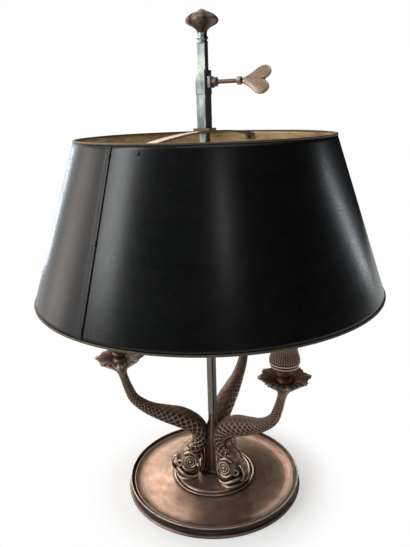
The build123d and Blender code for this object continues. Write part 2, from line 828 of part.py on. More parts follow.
# (bearing, height, thickness of what the rivet holds, depth of the outer head's seat)
tab_top = slider_height - spider_arch
tab_grip = shade_wall + sheet_gap + spider_thickness
rivet_places = [(bearing, tab_top - spider_tab / 2, tab_grip, 0.0) for bearing in (0, 180)]
lap_angle = degrees(lap_width / shade_bottom_radius)
for number in range(lap_rivets):
    height = shade_top - rivet_margin - number * (shade_height - 2 * rivet_margin) / (lap_rivets - 1)
    rivet_places.append((lap_bearing + lap_angle / 2, height, 2 * shade_wall, -shade_wall))


def rivet_plane(bearing, height, depth):
    """A plane on the sheet, facing out of it."""
    out = bearing_plane(bearing).x_dir
    return Plane(origin=out * shade_radius(height, depth) + Vector(0, 0, height),
                 z_dir=out + Vector(0, 0, shade_slope))


def rivet_holes():
    with BuildPart() as holes:
        for bearing, height, grip, depth in rivet_places:
            with BuildSketch(rivet_plane(bearing, height, depth)):
                Circle(rivet_radius)
            extrude(amount=-grip - rivet_head_height)
            with BuildSketch(rivet_plane(bearing, height, depth)):
                Circle(rivet_radius)
            extrude(amount=rivet_head_height)
    return holes.part


with BuildPart() as shade_rivets:
    add(rivet_holes())
    for bearing, height, grip, depth in rivet_places:
        for seat, thickness in ((cast_fit, rivet_head_height), (-grip - cast_fit, -rivet_head_height)):
            with BuildSketch(rivet_plane(bearing, height, depth).offset(seat)):
                Circle(rivet_head_radius)
            extrude(amount=thickness)
save(shade_rivets.part, "shade_rivets")

rim_rings = {"shade_top_rim": shade_top, "shade_bottom_rim": shade_bottom}
with BuildPart() as shade:
    with BuildSketch(Plane.XZ):
        with BuildLine():
            Polyline(*sheet_section(0.0), close=True)
        make_face()
    revolve(axis=Axis.Z)
    # the sheet's end laps over its start
    with BuildSketch(bearing_plane(lap_bearing)):
        with BuildLine():
            Polyline(*sheet_section(-shade_wall), close=True)
        make_face()
    revolve(axis=Axis.Z, revolution_arc=lap_angle)
    for height in rim_rings.values():
        with Locations((0, 0, height)):
            Torus(shade_radius(height, shade_wall / 2), rim_wire_radius, mode=Mode.SUBTRACT)
    add(rivet_holes(), mode=Mode.SUBTRACT)
save(shade.part, "shade")

for name, height in rim_rings.items():
    with BuildPart() as rim_ring:
        with Locations((0, 0, height)):
            Torus(shade_radius(height, shade_wall / 2), rim_wire_radius)
    save(rim_ring.part, name)

with BuildPart() as spider:
    tab_depth = shade_wall + sheet_gap
    corner = (shade_radius(tab_top, tab_depth), tab_top)
    tab_end = (shade_radius(tab_top - spider_tab, tab_depth), tab_top - spider_tab)
    tab_inside = (tab_end[0] - spider_thickness * slant, tab_end[1])
    bend = (shade_radius(tab_top - spider_thickness, tab_depth + spider_thickness),
            tab_top - spider_thickness)
    with BuildSketch(Plane.YZ):
        with BuildLine():
            ThreePointArc((-corner[0], corner[1]), (0, slider_height), corner)
            Polyline(corner, tab_end, tab_inside, bend)
            ThreePointArc(bend, (0, slider_height - spider_thickness), (-bend[0], bend[1]))
            Polyline(
                (-bend[0], bend[1]), (-tab_inside[0], tab_inside[1]), (-tab_end[0], tab_end[1]),
                (-corner[0], corner[1]),
            )
        make_face()
    extrude(amount=spider_width / 2, both=True)
    with BuildSketch(Plane.XY.offset(slider_height)):
        Rectangle(slider_bore, slider_bore)
    extrude(amount=2 * spider_thickness, both=True, mode=Mode.SUBTRACT)
    add(rivet_holes(), mode=Mode.SUBTRACT)
save(spider.part, "spider")
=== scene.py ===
# %% [markdown]
# # Dressing a bouillotte lamp
# A bouillotte lamp is a table lamp with candle arms on a dish and one metal shade over them.
# This one has three cast dolphins as arms, a square rod up the middle, and a black shade that
# slides on the rod and is held by a winged key. The solids of the working model come first.
# They give every place and size, and each later cell dresses one piece of the lamp.

import json
import math

import bpy
import numpy as np
from mathutils import Matrix, Vector
from mathutils.bvhtree import BVHTree

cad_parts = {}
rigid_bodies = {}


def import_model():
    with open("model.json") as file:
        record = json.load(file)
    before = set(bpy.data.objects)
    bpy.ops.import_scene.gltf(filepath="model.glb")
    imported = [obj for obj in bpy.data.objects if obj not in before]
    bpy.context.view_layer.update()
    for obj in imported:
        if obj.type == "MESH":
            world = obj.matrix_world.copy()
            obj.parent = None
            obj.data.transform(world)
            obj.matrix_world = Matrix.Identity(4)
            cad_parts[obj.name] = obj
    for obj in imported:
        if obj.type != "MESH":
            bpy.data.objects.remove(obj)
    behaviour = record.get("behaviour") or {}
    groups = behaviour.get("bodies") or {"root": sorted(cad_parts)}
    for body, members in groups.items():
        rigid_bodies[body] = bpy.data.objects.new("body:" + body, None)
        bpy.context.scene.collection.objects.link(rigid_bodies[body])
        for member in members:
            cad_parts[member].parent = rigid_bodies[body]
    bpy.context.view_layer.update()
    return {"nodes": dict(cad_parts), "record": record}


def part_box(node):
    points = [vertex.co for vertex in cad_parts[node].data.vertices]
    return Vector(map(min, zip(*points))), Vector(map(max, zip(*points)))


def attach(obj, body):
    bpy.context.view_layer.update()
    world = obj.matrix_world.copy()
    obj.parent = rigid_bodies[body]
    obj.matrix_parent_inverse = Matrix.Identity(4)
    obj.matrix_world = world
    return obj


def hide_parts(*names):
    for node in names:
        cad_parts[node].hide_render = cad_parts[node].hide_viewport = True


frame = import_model()
nodes = frame["nodes"]
MM = 0.001
ARMS = ("right", "back", "left")


def in_scene(name, data):
    """A new object that holds the data."""
    made = bpy.data.objects.new(name, data)
    bpy.context.scene.collection.objects.link(made)
    return made


# %% [markdown]
# ## Camera
# The camera stands a little higher than the shade's upper rim and looks slightly down. It is
# turned 25 degrees round the lamp. A camera is a point and three directions: across, up and
# ahead. Writing them down keeps a small roll that aiming at a target would lose.

# %% Place the camera
VIEW_TURN = math.radians(25)
turn_to_view = Matrix.Rotation(VIEW_TURN, 3, "Z")
across = turn_to_view @ Vector((0.99955, -0.00892, -0.02877))
upward = turn_to_view @ Vector((0.03012, 0.28265, 0.95875))
ahead = turn_to_view @ Vector((0.00042, 0.95918, -0.28279))
eye_point = turn_to_view @ Vector((-0.00493, -0.64353, 0.48043))

SENSOR = 36
FOCAL_SHARE = 551 / 547  # focal length over the picture's longer side
camera_data = bpy.data.cameras.new("camera")
camera_data.sensor_width = SENSOR
camera_data.lens = SENSOR * FOCAL_SHARE
camera_data.clip_start = 0.01
camera = in_scene("camera", camera_data)
axes = Matrix((across, upward, -ahead)).transposed()
camera.matrix_world = Matrix.Translation(eye_point) @ axes.to_4x4()
bpy.context.scene.camera = camera
bpy.context.scene.view_settings.view_transform = "Standard"
print("camera at", [round(v, 3) for v in eye_point], "lens", round(camera_data.lens, 2))

# %% [markdown]
# ## Shader arithmetic
# A finish is worked out from masks: where the metal is worn, where dirt lies. Written as
# nodes, a sum of masks is hard to read. A small class wraps one socket, so that the sum is
# written as a sum and the Math nodes appear by themselves. Every other node comes from one
# method that takes its type, its settings and what goes into its sockets.


# %% Sockets that can be added and multiplied
class Socket:
    """One output of a node. Arithmetic on it adds Math nodes."""

    def __init__(self, tree, output):
        self.tree, self.output = tree, output

    def math(self, operation, *values):
        settings = {"operation": operation}
        return self.tree.node("Math", settings, dict(enumerate(values)))

    def __add__(self, other):
        return self.math("ADD", self, other)

    def __sub__(self, other):
        return self.math("SUBTRACT", self, other)

    def __rsub__(self, other):
        return self.math("SUBTRACT", other, self)

    def __mul__(self, other):
        return self.math("MULTIPLY", self, other)

    __radd__ = __add__
    __rmul__ = __mul__

    def step(self, low, high):
        """0 below low, 1 above high, and a smooth rise between them."""
        settings = {"interpolation_type": "SMOOTHSTEP"}
        return self.tree.node("MapRange", settings, {0: self, 1: low, 2: high})


class NodeTree:
    """The nodes of a material or of the world."""

    def __init__(self, owner):
        owner.use_nodes = True
        self.nodes, self.links = owner.node_tree.nodes, owner.node_tree.links
        self.nodes.clear()

    def node(self, kind, settings=None, sockets=None, out=0):
        made = self.nodes.new("ShaderNode" + kind)
        for name, value in (settings or {}).items():
            setattr(made, name, value)
        for name, value in (sockets or {}).items():
            self.join(value, made.inputs[name])
        return Socket(self, made.outputs[out]) if len(made.outputs) else None

    def join(self, value, into):
        if isinstance(value, Socket):
            self.links.new(value.output, into)
        elif isinstance(value, tuple) and into.type == "RGBA":
            into.default_value = (*value, 1)
        else:
            into.default_value = value

    def mix(self, mask, first, second, how="MIX"):
        """second over first where the mask is 1. Both are colours."""
        settings = {"data_type": "RGBA", "blend_type": how}
        return self.node("Mix", settings, {0: mask, 6: first, 7: second}, 2)

    def ramp(self, mask, *stops):
        """The colour at the mask's value, between stops of (value, colour)."""
        ramp = self.node("ValToRGB", None, {0: mask})
        elements = ramp.output.node.color_ramp.elements
        for value, _ in stops[2:]:
            elements.new(value)
        for element, (value, colour) in zip(elements, stops):
            element.position, element.color = value, (*colour, 1)
        return ramp

    def length(self, vector):
        return self.node("VectorMath", {"operation": "LENGTH"}, {0: vector}, "Value")

    def noise(self, scale, detail=4, roughness=0.6, place=None, **more):
        """Cloudy noise from 0 to 1. Scale is in clouds per metre."""
        sockets = {"Scale": scale, "Detail": detail, "Roughness": roughness, **more}
        if place is not None:
            sockets["Vector"] = place
        return self.node("TexNoise", None, sockets)

    def place(self, stretch=(1, 1, 1)):
        """The point on the piece, stretched along the lamp's axes."""
        point = self.node("TexCoord", out="Object")
        if stretch == (1, 1, 1):
            return point
        return self.node("VectorMath", {"operation": "MULTIPLY"}, {0: point, 1: stretch})

    def streaks(self, stretch, detail, roughness):
        """Noise that is drawn out along the axis with the smallest stretch."""
        return self.noise(1, detail, roughness, self.place(stretch))


print("shader arithmetic is ready")

# %% [markdown]
# ## Studio
# Old silvered brass has little colour of its own and shows what is round it. So the studio
# is plain: a pale floor, white all round, one large soft box at the left like a window, and
# weaker ones that leave long soft lines on the black shade. The floor glows as white as the
# world does, and a little less so close to the lamp, where it keeps a faint shadow.


# %% World and floor
def seen_directly(tree):
    """1 where the camera looks, or a mirror or a glass shows the spot."""
    rays = ("Is Camera Ray", "Is Glossy Ray", "Is Transmission Ray")
    first, second, third = (tree.node("LightPath", out=ray) for ray in rays)
    return first.math("MAXIMUM", first.math("MAXIMUM", first, second), third)


world = bpy.data.worlds.new("studio")
bpy.context.scene.world = world
sky = NodeTree(world)
brightness = seen_directly(sky) * 0.66 + 0.34
background = sky.node("Background", None, {"Color": (1, 1, 1), "Strength": brightness})
sky.node("OutputWorld", None, {"Surface": background})


def staged(name, finish_name, points, faces):
    """A piece of the studio. Returns the nodes of its finish."""
    mesh = bpy.data.meshes.new(name)
    mesh.from_pydata(points, [], faces)
    in_scene(name, mesh)
    mesh.materials.append(bpy.data.materials.new(finish_name))
    return NodeTree(mesh.materials[0])


FLOOR_SIDE = 6.0
FADE_START, FADE_END = 0.116, 0.175  # distances from the lamp's middle
corners = [(x * FLOOR_SIDE, y * FLOOR_SIDE, 0) for x, y in ((-1, -1), (1, -1), (1, 1), (-1, 1))]
paper = staged("floor", "pale_floor", corners, [(0, 1, 2, 3)])
far = paper.length(paper.place()).step(FADE_START, FADE_END) * 0.45 + 0.55
matt = paper.node("BsdfDiffuse", None, {"Color": (0.9, 0.9, 0.9)})
glow = paper.node("Emission", None, {"Color": (1, 1, 1), "Strength": 1.0})
mixed = paper.node("MixShader", None, {0: far * seen_directly(paper), 1: matt, 2: glow})
paper.node("OutputMaterial", None, {"Surface": mixed})
print("the floor is", 2 * FLOOR_SIDE, "m wide")

# %% [markdown]
# A soft box is a flat lamp that faces the lamp on the floor. Its width decides how broad its
# reflection is on the shade, and a narrow one draws a thin line.


# %% Soft boxes
def soft_box(name, bearing, rise, distance, width, height, watts, tint=(1, 1, 1), lean=0):
    """A soft light. Its bearing is in degrees, from the camera's side towards the right."""
    light = bpy.data.lights.new(name, "AREA")
    light.shape, light.size, light.size_y = "RECTANGLE", width, height
    light.energy, light.color = watts, tint
    box = in_scene(name, light)
    angle = math.radians(bearing)
    out = turn_to_view @ Vector((math.sin(angle), -math.cos(angle), 0))
    target = Vector((0, 0, AIM_HEIGHT))
    box.location = target + out * distance + Vector((0, 0, rise))
    box.rotation_euler = (target - box.location).to_track_quat("-Z", "Y").to_euler()
    box.rotation_euler.rotate_axis("Z", math.radians(lean))


AIM_HEIGHT = 0.3
# name, bearing, rise, distance, width, height, watts, tint, lean
soft_box("window", -71, 0.80, 1.5, 0.46, 1.2, 22, (0.96, 0.985, 1.0))
soft_box("warm_wall", -160, 1.00, 1.7, 1.30, 0.7, 16, (1.0, 0.86, 0.74))
soft_box("warm_side", -106, 0.25, 1.7, 0.55, 0.9, 4, (1.0, 0.86, 0.74))
soft_box("left_edge", -143, 0.05, 1.6, 0.10, 0.6, 2.2, (0.75, 0.88, 1.0))
soft_box("over_the_camera", 11, 0.78, 1.6, 0.035, 0.34, 1.5)
soft_box("right_edge", 111, 0.18, 1.6, 0.035, 0.75, 2.4, (0.85, 0.93, 1.0), 36)
soft_box("top", 20, 1.6, 0.5, 0.8, 0.8, 4, (1.0, 0.97, 0.93))

# %% [markdown]
# Silver and black paint look lifeless when all they mirror is white. Photographers of such
# things hang a dark cloth round the set, so that there is something dark to mirror. This one
# goes from the left front round the right side to the back, and the camera looks through it.

# %% Hang the dark cloth
CLOTH_RADIUS, CLOTH_HEIGHT = 2.6, 3.2
CLOTH_START, CLOTH_SWEEP, CLOTH_STEPS = -59, 234, 24  # degrees, degrees, flats
cloth_points, cloth_faces = [], []
for step in range(CLOTH_STEPS + 1):
    angle = VIEW_TURN + math.radians(CLOTH_START + CLOTH_SWEEP * step / CLOTH_STEPS)
    x, y = CLOTH_RADIUS * math.sin(angle), -CLOTH_RADIUS * math.cos(angle)
    cloth_points += [(x, y, 0), (x, y, CLOTH_HEIGHT)]
    if step:
        cloth_faces.append((2 * step - 2, 2 * step, 2 * step + 1, 2 * step - 1))
weave = staged("dark_cloth", "dark_cloth", cloth_points, cloth_faces)
black = weave.node("BsdfDiffuse", None, {"Color": (0.02, 0.018, 0.016)})
clear = weave.node("BsdfTransparent")
looked_at = weave.node("LightPath", out="Is Camera Ray")
seen = weave.node("MixShader", None, {0: looked_at, 1: black, 2: clear})
weave.node("OutputMaterial", None, {"Surface": seen})
print("the cloth is", CLOTH_HEIGHT, "m high and stands", CLOTH_RADIUS, "m away")

# %% [markdown]
# ## Patina
# The dish, dolphins, pans and cups are cast or spun brass that was silvered. Most of the
# silver has rubbed off. High places are bare, pale and smooth, and hollows hold a dark brown
# tarnish. The meshes carry a number called relief, 1 on high places and 0 in hollows, and
# the finish follows it, because a mesh knows its own carving better than any noise does.
# Relief also carries some painted light and shade: painted occlusion shade on the heads, the
# dish's painted shade terms, a painted highlight in the column's folds and a lighter middle
# on the plinth.


# %% A principled surface
def finish(name, make, **constants):
    """A new material. make gets its nodes and returns the sockets that vary."""
    material = bpy.data.materials.new(name)
    tree = NodeTree(material)
    sockets = {**constants, **make(tree)}
    shader = tree.node("BsdfPrincipled", None, sockets)
    tree.node("OutputMaterial", None, {"Surface": shader})
    return material


def surface(tree, colour, rough, height=None, depth=0.0, strength=0.0, **more):
    """Sockets of a surface whose height mask makes bumps. Depth is in metres."""
    sockets = {"Base Color": colour, "Roughness": rough, **more}
    if height is not None:
        bumps = {"Strength": strength, "Distance": depth, "Height": height}
        sockets["Normal"] = tree.node("Bump", None, bumps)
    return sockets


def carved(tree):
    """The relief that the mesh carries."""
    return tree.node("Attribute", {"attribute_name": "relief"}, out="Fac")


def cast_patina(tree, relief=None):
    """Cast brass: pale where it is worn, dark brown in the hollows."""
    relief = carved(tree) if relief is None else relief
    clouds = tree.noise(38, 5)
    grain = tree.noise(420, 3)
    stains = tree.noise(70, 6, 0.7).step(0.50, 0.66)
    worn = (relief + clouds * 0.5 - 0.25 + grain * 0.2 - 0.08).step(0.0, 1.0)
    colour = tree.ramp(
        worn,
        (0.0, (0.010, 0.004, 0.002)),
        (0.22, (0.048, 0.022, 0.012)),
        (0.5, (0.175, 0.100, 0.064)),
        (0.78, (0.35, 0.245, 0.175)),
        (1.0, (0.56, 0.455, 0.355)),
    )
    colour = tree.mix(stains * 0.45, colour, (0.205, 0.185, 0.125), "MULTIPLY")
    return surface(
        tree, colour, 0.46 - worn * 0.16 + grain * 0.12,
        grain + clouds, 0.0003, 0.5, Metallic=worn * 0.5 + 0.35,
    )


def spun_patina(tree):
    """Spun brass: the same wear, with fine rings round the lamp's middle."""
    radius = tree.length(tree.place((1, 1, 0)))
    rings = tree.noise(1, 3, 0.7, tree.node("CombineXYZ", None, {0: radius * 900}))
    clouds = tree.noise(13, 6, 0.62)
    grain = tree.noise(260, 4)
    scratches = tree.noise(30, 3, 0.5, tree.place((1, 14, 1))).step(0.60, 0.66)
    worn = (carved(tree) * 1.1 + clouds * 0.45 - 0.30 + grain * 0.15).step(0.0, 1.0)
    colour = tree.ramp(
        worn,
        (0.0, (0.010, 0.006, 0.004)),
        (0.3, (0.092, 0.057, 0.042)),
        (0.6, (0.24, 0.163, 0.122)),
        (1.0, (0.52, 0.41, 0.325)),
    )
    colour = tree.mix(tree.noise(7, 2).step(0.45, 0.75) * 0.3, colour, (0.21, 0.135, 0.115))
    height = rings + grain * 0.5 + scratches * 0.3
    return surface(
        tree, colour, 0.30 - worn * 0.06 + grain * 0.14 + scratches * 0.08,
        height, 0.0002, 0.35, Metallic=worn * 0.30 + 0.60,
    )


cast_brass = finish("cast_silvered_brass", cast_patina)
spun_brass = finish("spun_silvered_brass", spun_patina)
plain_brass = finish("plain_silvered_brass", lambda tree: cast_patina(tree, 0.45))
print("patinas:", cast_brass.name, spun_brass.name, plain_brass.name)


# %% [markdown]
# ## Rod and slider finishes
# The rod, the slider and the finial's neck were silvered more thickly, and still look cool and
# bright, with cloudy tarnish. Their side towards +X and a strip along the right of the other
# faces are painted nearly black, as painted shade and painted dark reflection, with faint
# painted streaks of reflected light. The key and the finial's knob are handled most, and have
# gone back to warm brown brass.


# %% Bar and key finishes
def bar_silver(tree):
    """Silvered bar: cloudy, painted dark on its right as painted shade, and browner near the foot.
    """
    clouds = tree.streaks((60, 60, 9), 5, 0.65)
    patches = tree.streaks((110, 110, 60), 4, 0.6)
    spots = tree.noise(150, 5, 0.7).step(0.50, 0.62)
    drawn = tree.streaks((900, 900, 20), 2, 0.5)
    streaks = tree.streaks((260, 260, 7), 2, 0.5).step(0.52, 0.66)
    worn = (clouds * 0.9 + patches * 0.9 - 0.4).step(0.2, 0.85)
    colour = tree.ramp(
        worn, (0.0, (0.17, 0.22, 0.24)), (0.5, (0.50, 0.59, 0.55)), (1.0, (0.85, 0.87, 0.72))
    )
    colour = tree.mix(spots * 0.75, colour, (0.13, 0.085, 0.06))
    # painted shade: faces turned towards +X are painted nearly black
    facing = tree.node("SeparateXYZ", None, {0: tree.node("NewGeometry", out="Normal")}, "X")
    painted_shade_side = (facing + clouds * 0.3).step(0.75, 1.0)
    # painted dark reflection: the strip starts 2.2 mm right of the middle, and 4.2 mm above the
    # shade's upper rim
    across, rise = (tree.node("SeparateXYZ", None, {0: tree.place()}, axis) for axis in "XZ")
    strip_from = rise.step(0.450, 0.456) * 0.0020 + 0.0022
    painted_dark_reflection = (across - strip_from + clouds * 0.0006).step(0.0, 0.0007)
    painted_dark_reflection = painted_dark_reflection * (1 - across.step(0.0070, 0.0072))
    painted_shade_and_reflection = painted_shade_side.math("MAXIMUM", painted_shade_side, painted_dark_reflection)
    low_brown = (clouds * 0.10 + 0.21 - rise).step(0.0, 0.06)
    colour = tree.mix(low_brown * 0.75, colour, (0.155, 0.105, 0.085))
    # the painted shade and reflection goes nearly black, with the streaks as faint painted
    # reflections
    colour = tree.mix(painted_shade_and_reflection * (0.98 - streaks * 0.22), colour, (0.011, 0.010, 0.010))
    return surface(tree, colour, 0.34 + clouds * 0.12 + spots * 0.15, drawn + clouds, 0.0002, 0.3)


def key_bronze(tree, relief=None):
    """Brass that is handled: brown, and paler on its high places."""
    relief = carved(tree) if relief is None else relief
    clouds = tree.noise(55, 5)
    grain = tree.noise(600, 3)
    worn = (relief * 0.8 + clouds * 0.7 - 0.25).step(0.05, 0.95)
    colour = tree.ramp(
        worn, (0.0, (0.030, 0.017, 0.012)), (0.5, (0.145, 0.090, 0.062)), (1.0, (0.34, 0.26, 0.19))
    )
    return surface(
        tree, colour, 0.46 - worn * 0.12 + grain * 0.1,
        grain + clouds, 0.0002, 0.45, Metallic=worn * 0.3 + 0.55,
    )


bright_bar = finish("silvered_bar", bar_silver, Metallic=0.85)
brown_brass = finish("brown_brass", key_bronze)
turned_brass = finish("turned_brown_brass", lambda tree: key_bronze(tree, 0.55))
print("bar finishes:", bright_bar.name, brown_brass.name, turned_brass.name)

# %% [markdown]
# ## Mesh helpers
# Nearly every piece is a grid of points that closes on itself: turned pieces, tubes and the
# fish. One helper turns a grid into faces, and one turns points and faces into an object that
# rides on its body. Lengths are in millimetres until the last moment.


# %% Grids, curves and objects
def circle(count):
    return np.linspace(0, 2 * np.pi, count, endpoint=False)


def unit(vectors):
    return vectors / np.linalg.norm(vectors, axis=-1, keepdims=True)


def bell(value, middle, width):
    """1 at the middle, and less on both sides of it."""
    return np.exp(-(((value - middle) / width) ** 2))


def smooth_step(value, low, high):
    """0 below low, 1 above high."""
    share = np.clip((value - low) / (high - low), 0, 1)
    return share * share * (3 - 2 * share)


def grid_points(x, y, z):
    """A grid of points from rows, columns or grids of numbers."""
    return np.stack(np.broadcast_arrays(x, y, z), axis=-1)


def round_grid(radius, angle, height):
    return grid_points(radius * np.cos(angle), radius * np.sin(angle), height)


def grid_faces(rows, columns, closed_rows=False, closed_columns=True, start=0):
    """Four-sided faces over a grid of points, which may close on itself both ways."""
    down = np.arange(rows if closed_rows else rows - 1)
    along = np.arange(columns if closed_columns else columns - 1)
    row, column = np.meshgrid(down, along, indexing="ij")
    below, beside = (row + 1) % rows, (column + 1) % columns
    corners = ((row, column), (row, beside), (below, beside), (below, column))
    return np.stack([r * columns + c for r, c in corners], axis=-1).reshape(-1, 4) + start


def way_along(points):
    """How far each point is from the first one, along the line."""
    return np.concatenate(([0], np.cumsum(np.linalg.norm(np.diff(points, axis=0), axis=1))))


def curve_between(before, start, end, after, share):
    """A smooth curve from start to end, which looks at the points on both sides of them."""
    bend = 2 * before - 5 * start + 4 * end - after
    turn = 3 * (start - end) + after - before
    return start + 0.5 * share * (end - before + share * (bend + share * turn))


def with_ends(rows):
    """The rows and one more at each end, straight ahead."""
    return np.vstack((2 * rows[0] - rows[1], rows, 2 * rows[-1] - rows[-2]))


def smooth_through(points, count):
    """count points, evenly spaced, on a smooth curve through the given rows of numbers."""
    rows = np.array(points, float)
    padded = with_ends(rows)
    share = np.linspace(0, 1, 24, endpoint=False)[:, None]
    fours = zip(padded, padded[1:], padded[2:], padded[3:])
    fine = np.vstack([*[curve_between(*four, share) for four in fours], rows[-1:]])
    way = way_along(fine[:, :2])
    even = np.linspace(0, way[-1], count)
    return np.stack([np.interp(even, way, column) for column in fine.T], axis=1)


def softened(outline, spacing=0.7):
    """A closed outline of (radius, height, rounding) corners, as closely spaced points."""
    corners = [np.array(c[:2], float) for c in outline]
    points = []
    for number, (corner, (*_, rounding)) in enumerate(zip(corners, outline)):
        following = (number + 1) % len(corners)
        in_run, out_run = corner - corners[number - 1], corners[following] - corner
        in_length, out_length = np.linalg.norm(in_run), np.linalg.norm(out_run)
        cut = min(rounding, 0.48 * in_length, 0.48 * out_length)
        start, end = corner - in_run / in_length * cut, corner + out_run / out_length * cut
        steps = max(2, min(10, int(cut / 0.15))) if cut > 0.02 else 1
        for t in np.linspace(0, 1, steps):
            points.append((1 - t) ** 2 * start + 2 * t * (1 - t) * corner + t**2 * end)
        base = points[-1]
        reach = np.linalg.norm(corners[following] - base)
        run = max(0, reach - min(outline[following][2], 0.48 * out_length))
        pieces = int(run / (spacing * 4))
        direction = (corners[following] - base) / max(reach, 1e-9)
        points += [base + direction * run * k / (pieces + 1) for k in range(1, pieces + 1)]
    return np.array(points)


def rippled_turning(profile, steps, ripple):
    """Points, faces and relief of a turned piece. ripple gives an offset and the relief."""
    angle = circle(steps)[None, :]
    radius, height = (np.repeat(profile[:, k : k + 1], steps, axis=1) for k in (0, 1))
    offset, relief = ripple(angle, radius, height)
    points = round_grid(radius + offset, angle, height).reshape(-1, 3)
    return points, face_outwards(points, grid_faces(len(profile), steps, True)), relief.ravel()


def new_mesh(name, points, faces, material, relief=None):
    """A smooth mesh with one finish, from points in millimetres."""
    mesh = bpy.data.meshes.new(name)
    mesh.from_pydata((np.asarray(points) * MM).tolist(), [], np.asarray(faces).tolist())
    mesh.validate()
    mesh.shade_smooth()
    if relief is not None:
        held = mesh.attributes.new("relief", "FLOAT", "POINT")
        held.data.foreach_set("value", np.clip(relief, 0, 1).astype(np.float32))
    mesh.materials.append(material)
    return mesh


def dressed(name, mesh, body, node, at=(0, 0), bearing=0):
    """An object that rides on a body, and takes the place of a solid, which it hides."""
    piece = in_scene(name, mesh)
    piece.location = Vector((*at, 0)) * MM
    piece.rotation_euler.z = bearing
    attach(piece, body)
    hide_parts(node)
    print(name, len(mesh.polygons), "faces")


def face_outwards(points, faces):
    """Faces wound so that the solid's volume is positive."""
    a, b, c = (points[faces[:, k]] for k in (0, 1, 2))
    volume = np.einsum("ij,ij->i", a, np.cross(b, c)).sum()
    return faces if volume > 0 else faces[:, ::-1]


def turned_piece(name, node, material, line, steps, wear):
    """A turned piece of the stand."""
    points, faces, relief = rippled_turning(line, steps, wear)
    dressed(name, new_mesh(name, points, faces, material, relief), "stand", node)


print("mesh helpers are ready")

# %% [markdown]
# ## Dish
# The dish was spun from sheet over a wooden former, which makes soft corners, a rolled rim
# and faint rings. It is drawn as the outline that the spinner followed: a shallow well, lowest
# near the rim, a fine raised line, a sloping rim with a thin edge, and a hollow wall over a
# bead.

# %% Spin the dish
well = smooth_through([(54.5, 12.0), (66, 10.2), (78, 8.9), (88, 8.3), (94.5, 8.3)], 30)
corner = smooth_through([(96.0, 8.4), (100.0, 9.0), (103.6, 9.9), (105.6, 10.5)], 14)
rim = [
    (106.0, 11.0, 0.25), (106.7, 11.0, 0.25), (107.1, 10.5, 0.3), (110.7, 13.1, 0.5),
    (111.3, 13.5, 0.3), (112.2, 13.5, 0.4), (112.7, 12.9, 0.4), (112.4, 12.1, 0.4),
]
wall = smooth_through([(112.1, 11.5), (111.3, 8.2), (111.4, 5.2), (112.2, 3.9)], 10)
bead = [
    (112.5, 3.3, 0.3), (113.5, 3.1, 0.6), (114.5, 2.3, 0.9), (114.5, 0.8, 0.8),
    (113.1, 0, 0.6),
]
under = [
    (108.5, 0, 0.3), (108.5, 2.0, 0.3), (105.3, 2.0, 0.3), (105.3, 6.1, 0.5),
    (101.2, 6.1, 1.0), (79, 7.4, 5.0), (54.5, 10.6, 4.0), (4.3, 10.6, 0.0),
]


def sharp(points):
    """The same points as corners without rounding."""
    return [(*point, 0.0) for point in points]


outline = [*sharp([(4.3, 12.0), *well, *corner]), *rim, *sharp(wall), *bead, *under]
dish_line = softened(outline)


def dish_relief(angle, radius, height):
    rim_wear = bell(radius, 111.9, 0.7) * (height > 12) * 0.22
    line_wear = bell(radius, 106.4, 0.5) * (height > 9) * 0.12
    # the foot bead is a little darker
    foot_darkening = bell(height, 1.5, 1.2) * (radius > 112.4) * -0.12
    slope_shade = ((radius > 107.0) & (radius < 111.0) & (height > 8)) * 0.42
    wall_shade = ((radius > 110.9) & (height > 3.4) & (height < 12.4)) * 0.8
    corner_shade = bell(radius, 104.0, 3.0) * 0.12
    ring_shade = bell(radius, 55.5, 1.2) * 0.35
    relief = 0.5 + rim_wear + line_wear + foot_darkening - slope_shade - wall_shade
    return 0, relief - corner_shade - ring_shade


DISH_STEPS = 288
turned_piece(
    "dish", "base_dish", spun_brass, dish_line, DISH_STEPS, dish_relief
)

# %% [markdown]
# ## Plinth
# The plinth is a low turned plate with two rolled steps, which catch the light as two rings
# round the dolphins' chins. The lower step is wider and thinner than the upper one.

# %% Turn the plinth
plinth_line = softened(
    [
        (4.3, 12.0, 0), (54.5, 12.0, 0.2), (54.5, 13.1, 0.6), (53.0, 13.7, 0.6),
        (51.6, 13.2, 0.5), (50.2, 13.3, 0.5), (49.6, 14.2, 0.6), (48.4, 15.0, 0.6),
        (46.8, 15.0, 0.4), (46.2, 14.7, 0.4), (45.4, 14.9, 0.3), (4.3, 14.9, 0),
    ],
    0.5,
)


def plinth_relief(angle, radius, height):
    relief = 0.46 + 0.22 * bell(radius, 53.2, 1.0)
    relief = relief + 0.28 * bell(radius, 47.8, 1.0)
    # the plate's middle, between the heads, is painted lighter as painted light against their
    # shade
    relief = relief - 0.4 * bell(radius, 51.0, 0.8) + 0.10 * (radius < 45)
    return 0, relief


PLINTH_STEPS = 256
turned_piece(
    "plinth_plate", "plinth", spun_brass, plinth_line, PLINTH_STEPS, plinth_relief
)

# %% [markdown]
# ## Dolphin body
# Each arm is one casting: a fish that stands on its chin, with its tail in the air. The body
# is a tube along a bent line, oval in section. Its scales are a net of raised lines that
# cross like a lattice. The net keeps the same number of cells all round, so they shrink
# towards the tail as a fish's scales do. A smooth band runs along the outer edge, and a row
# of small beads lies beside it.

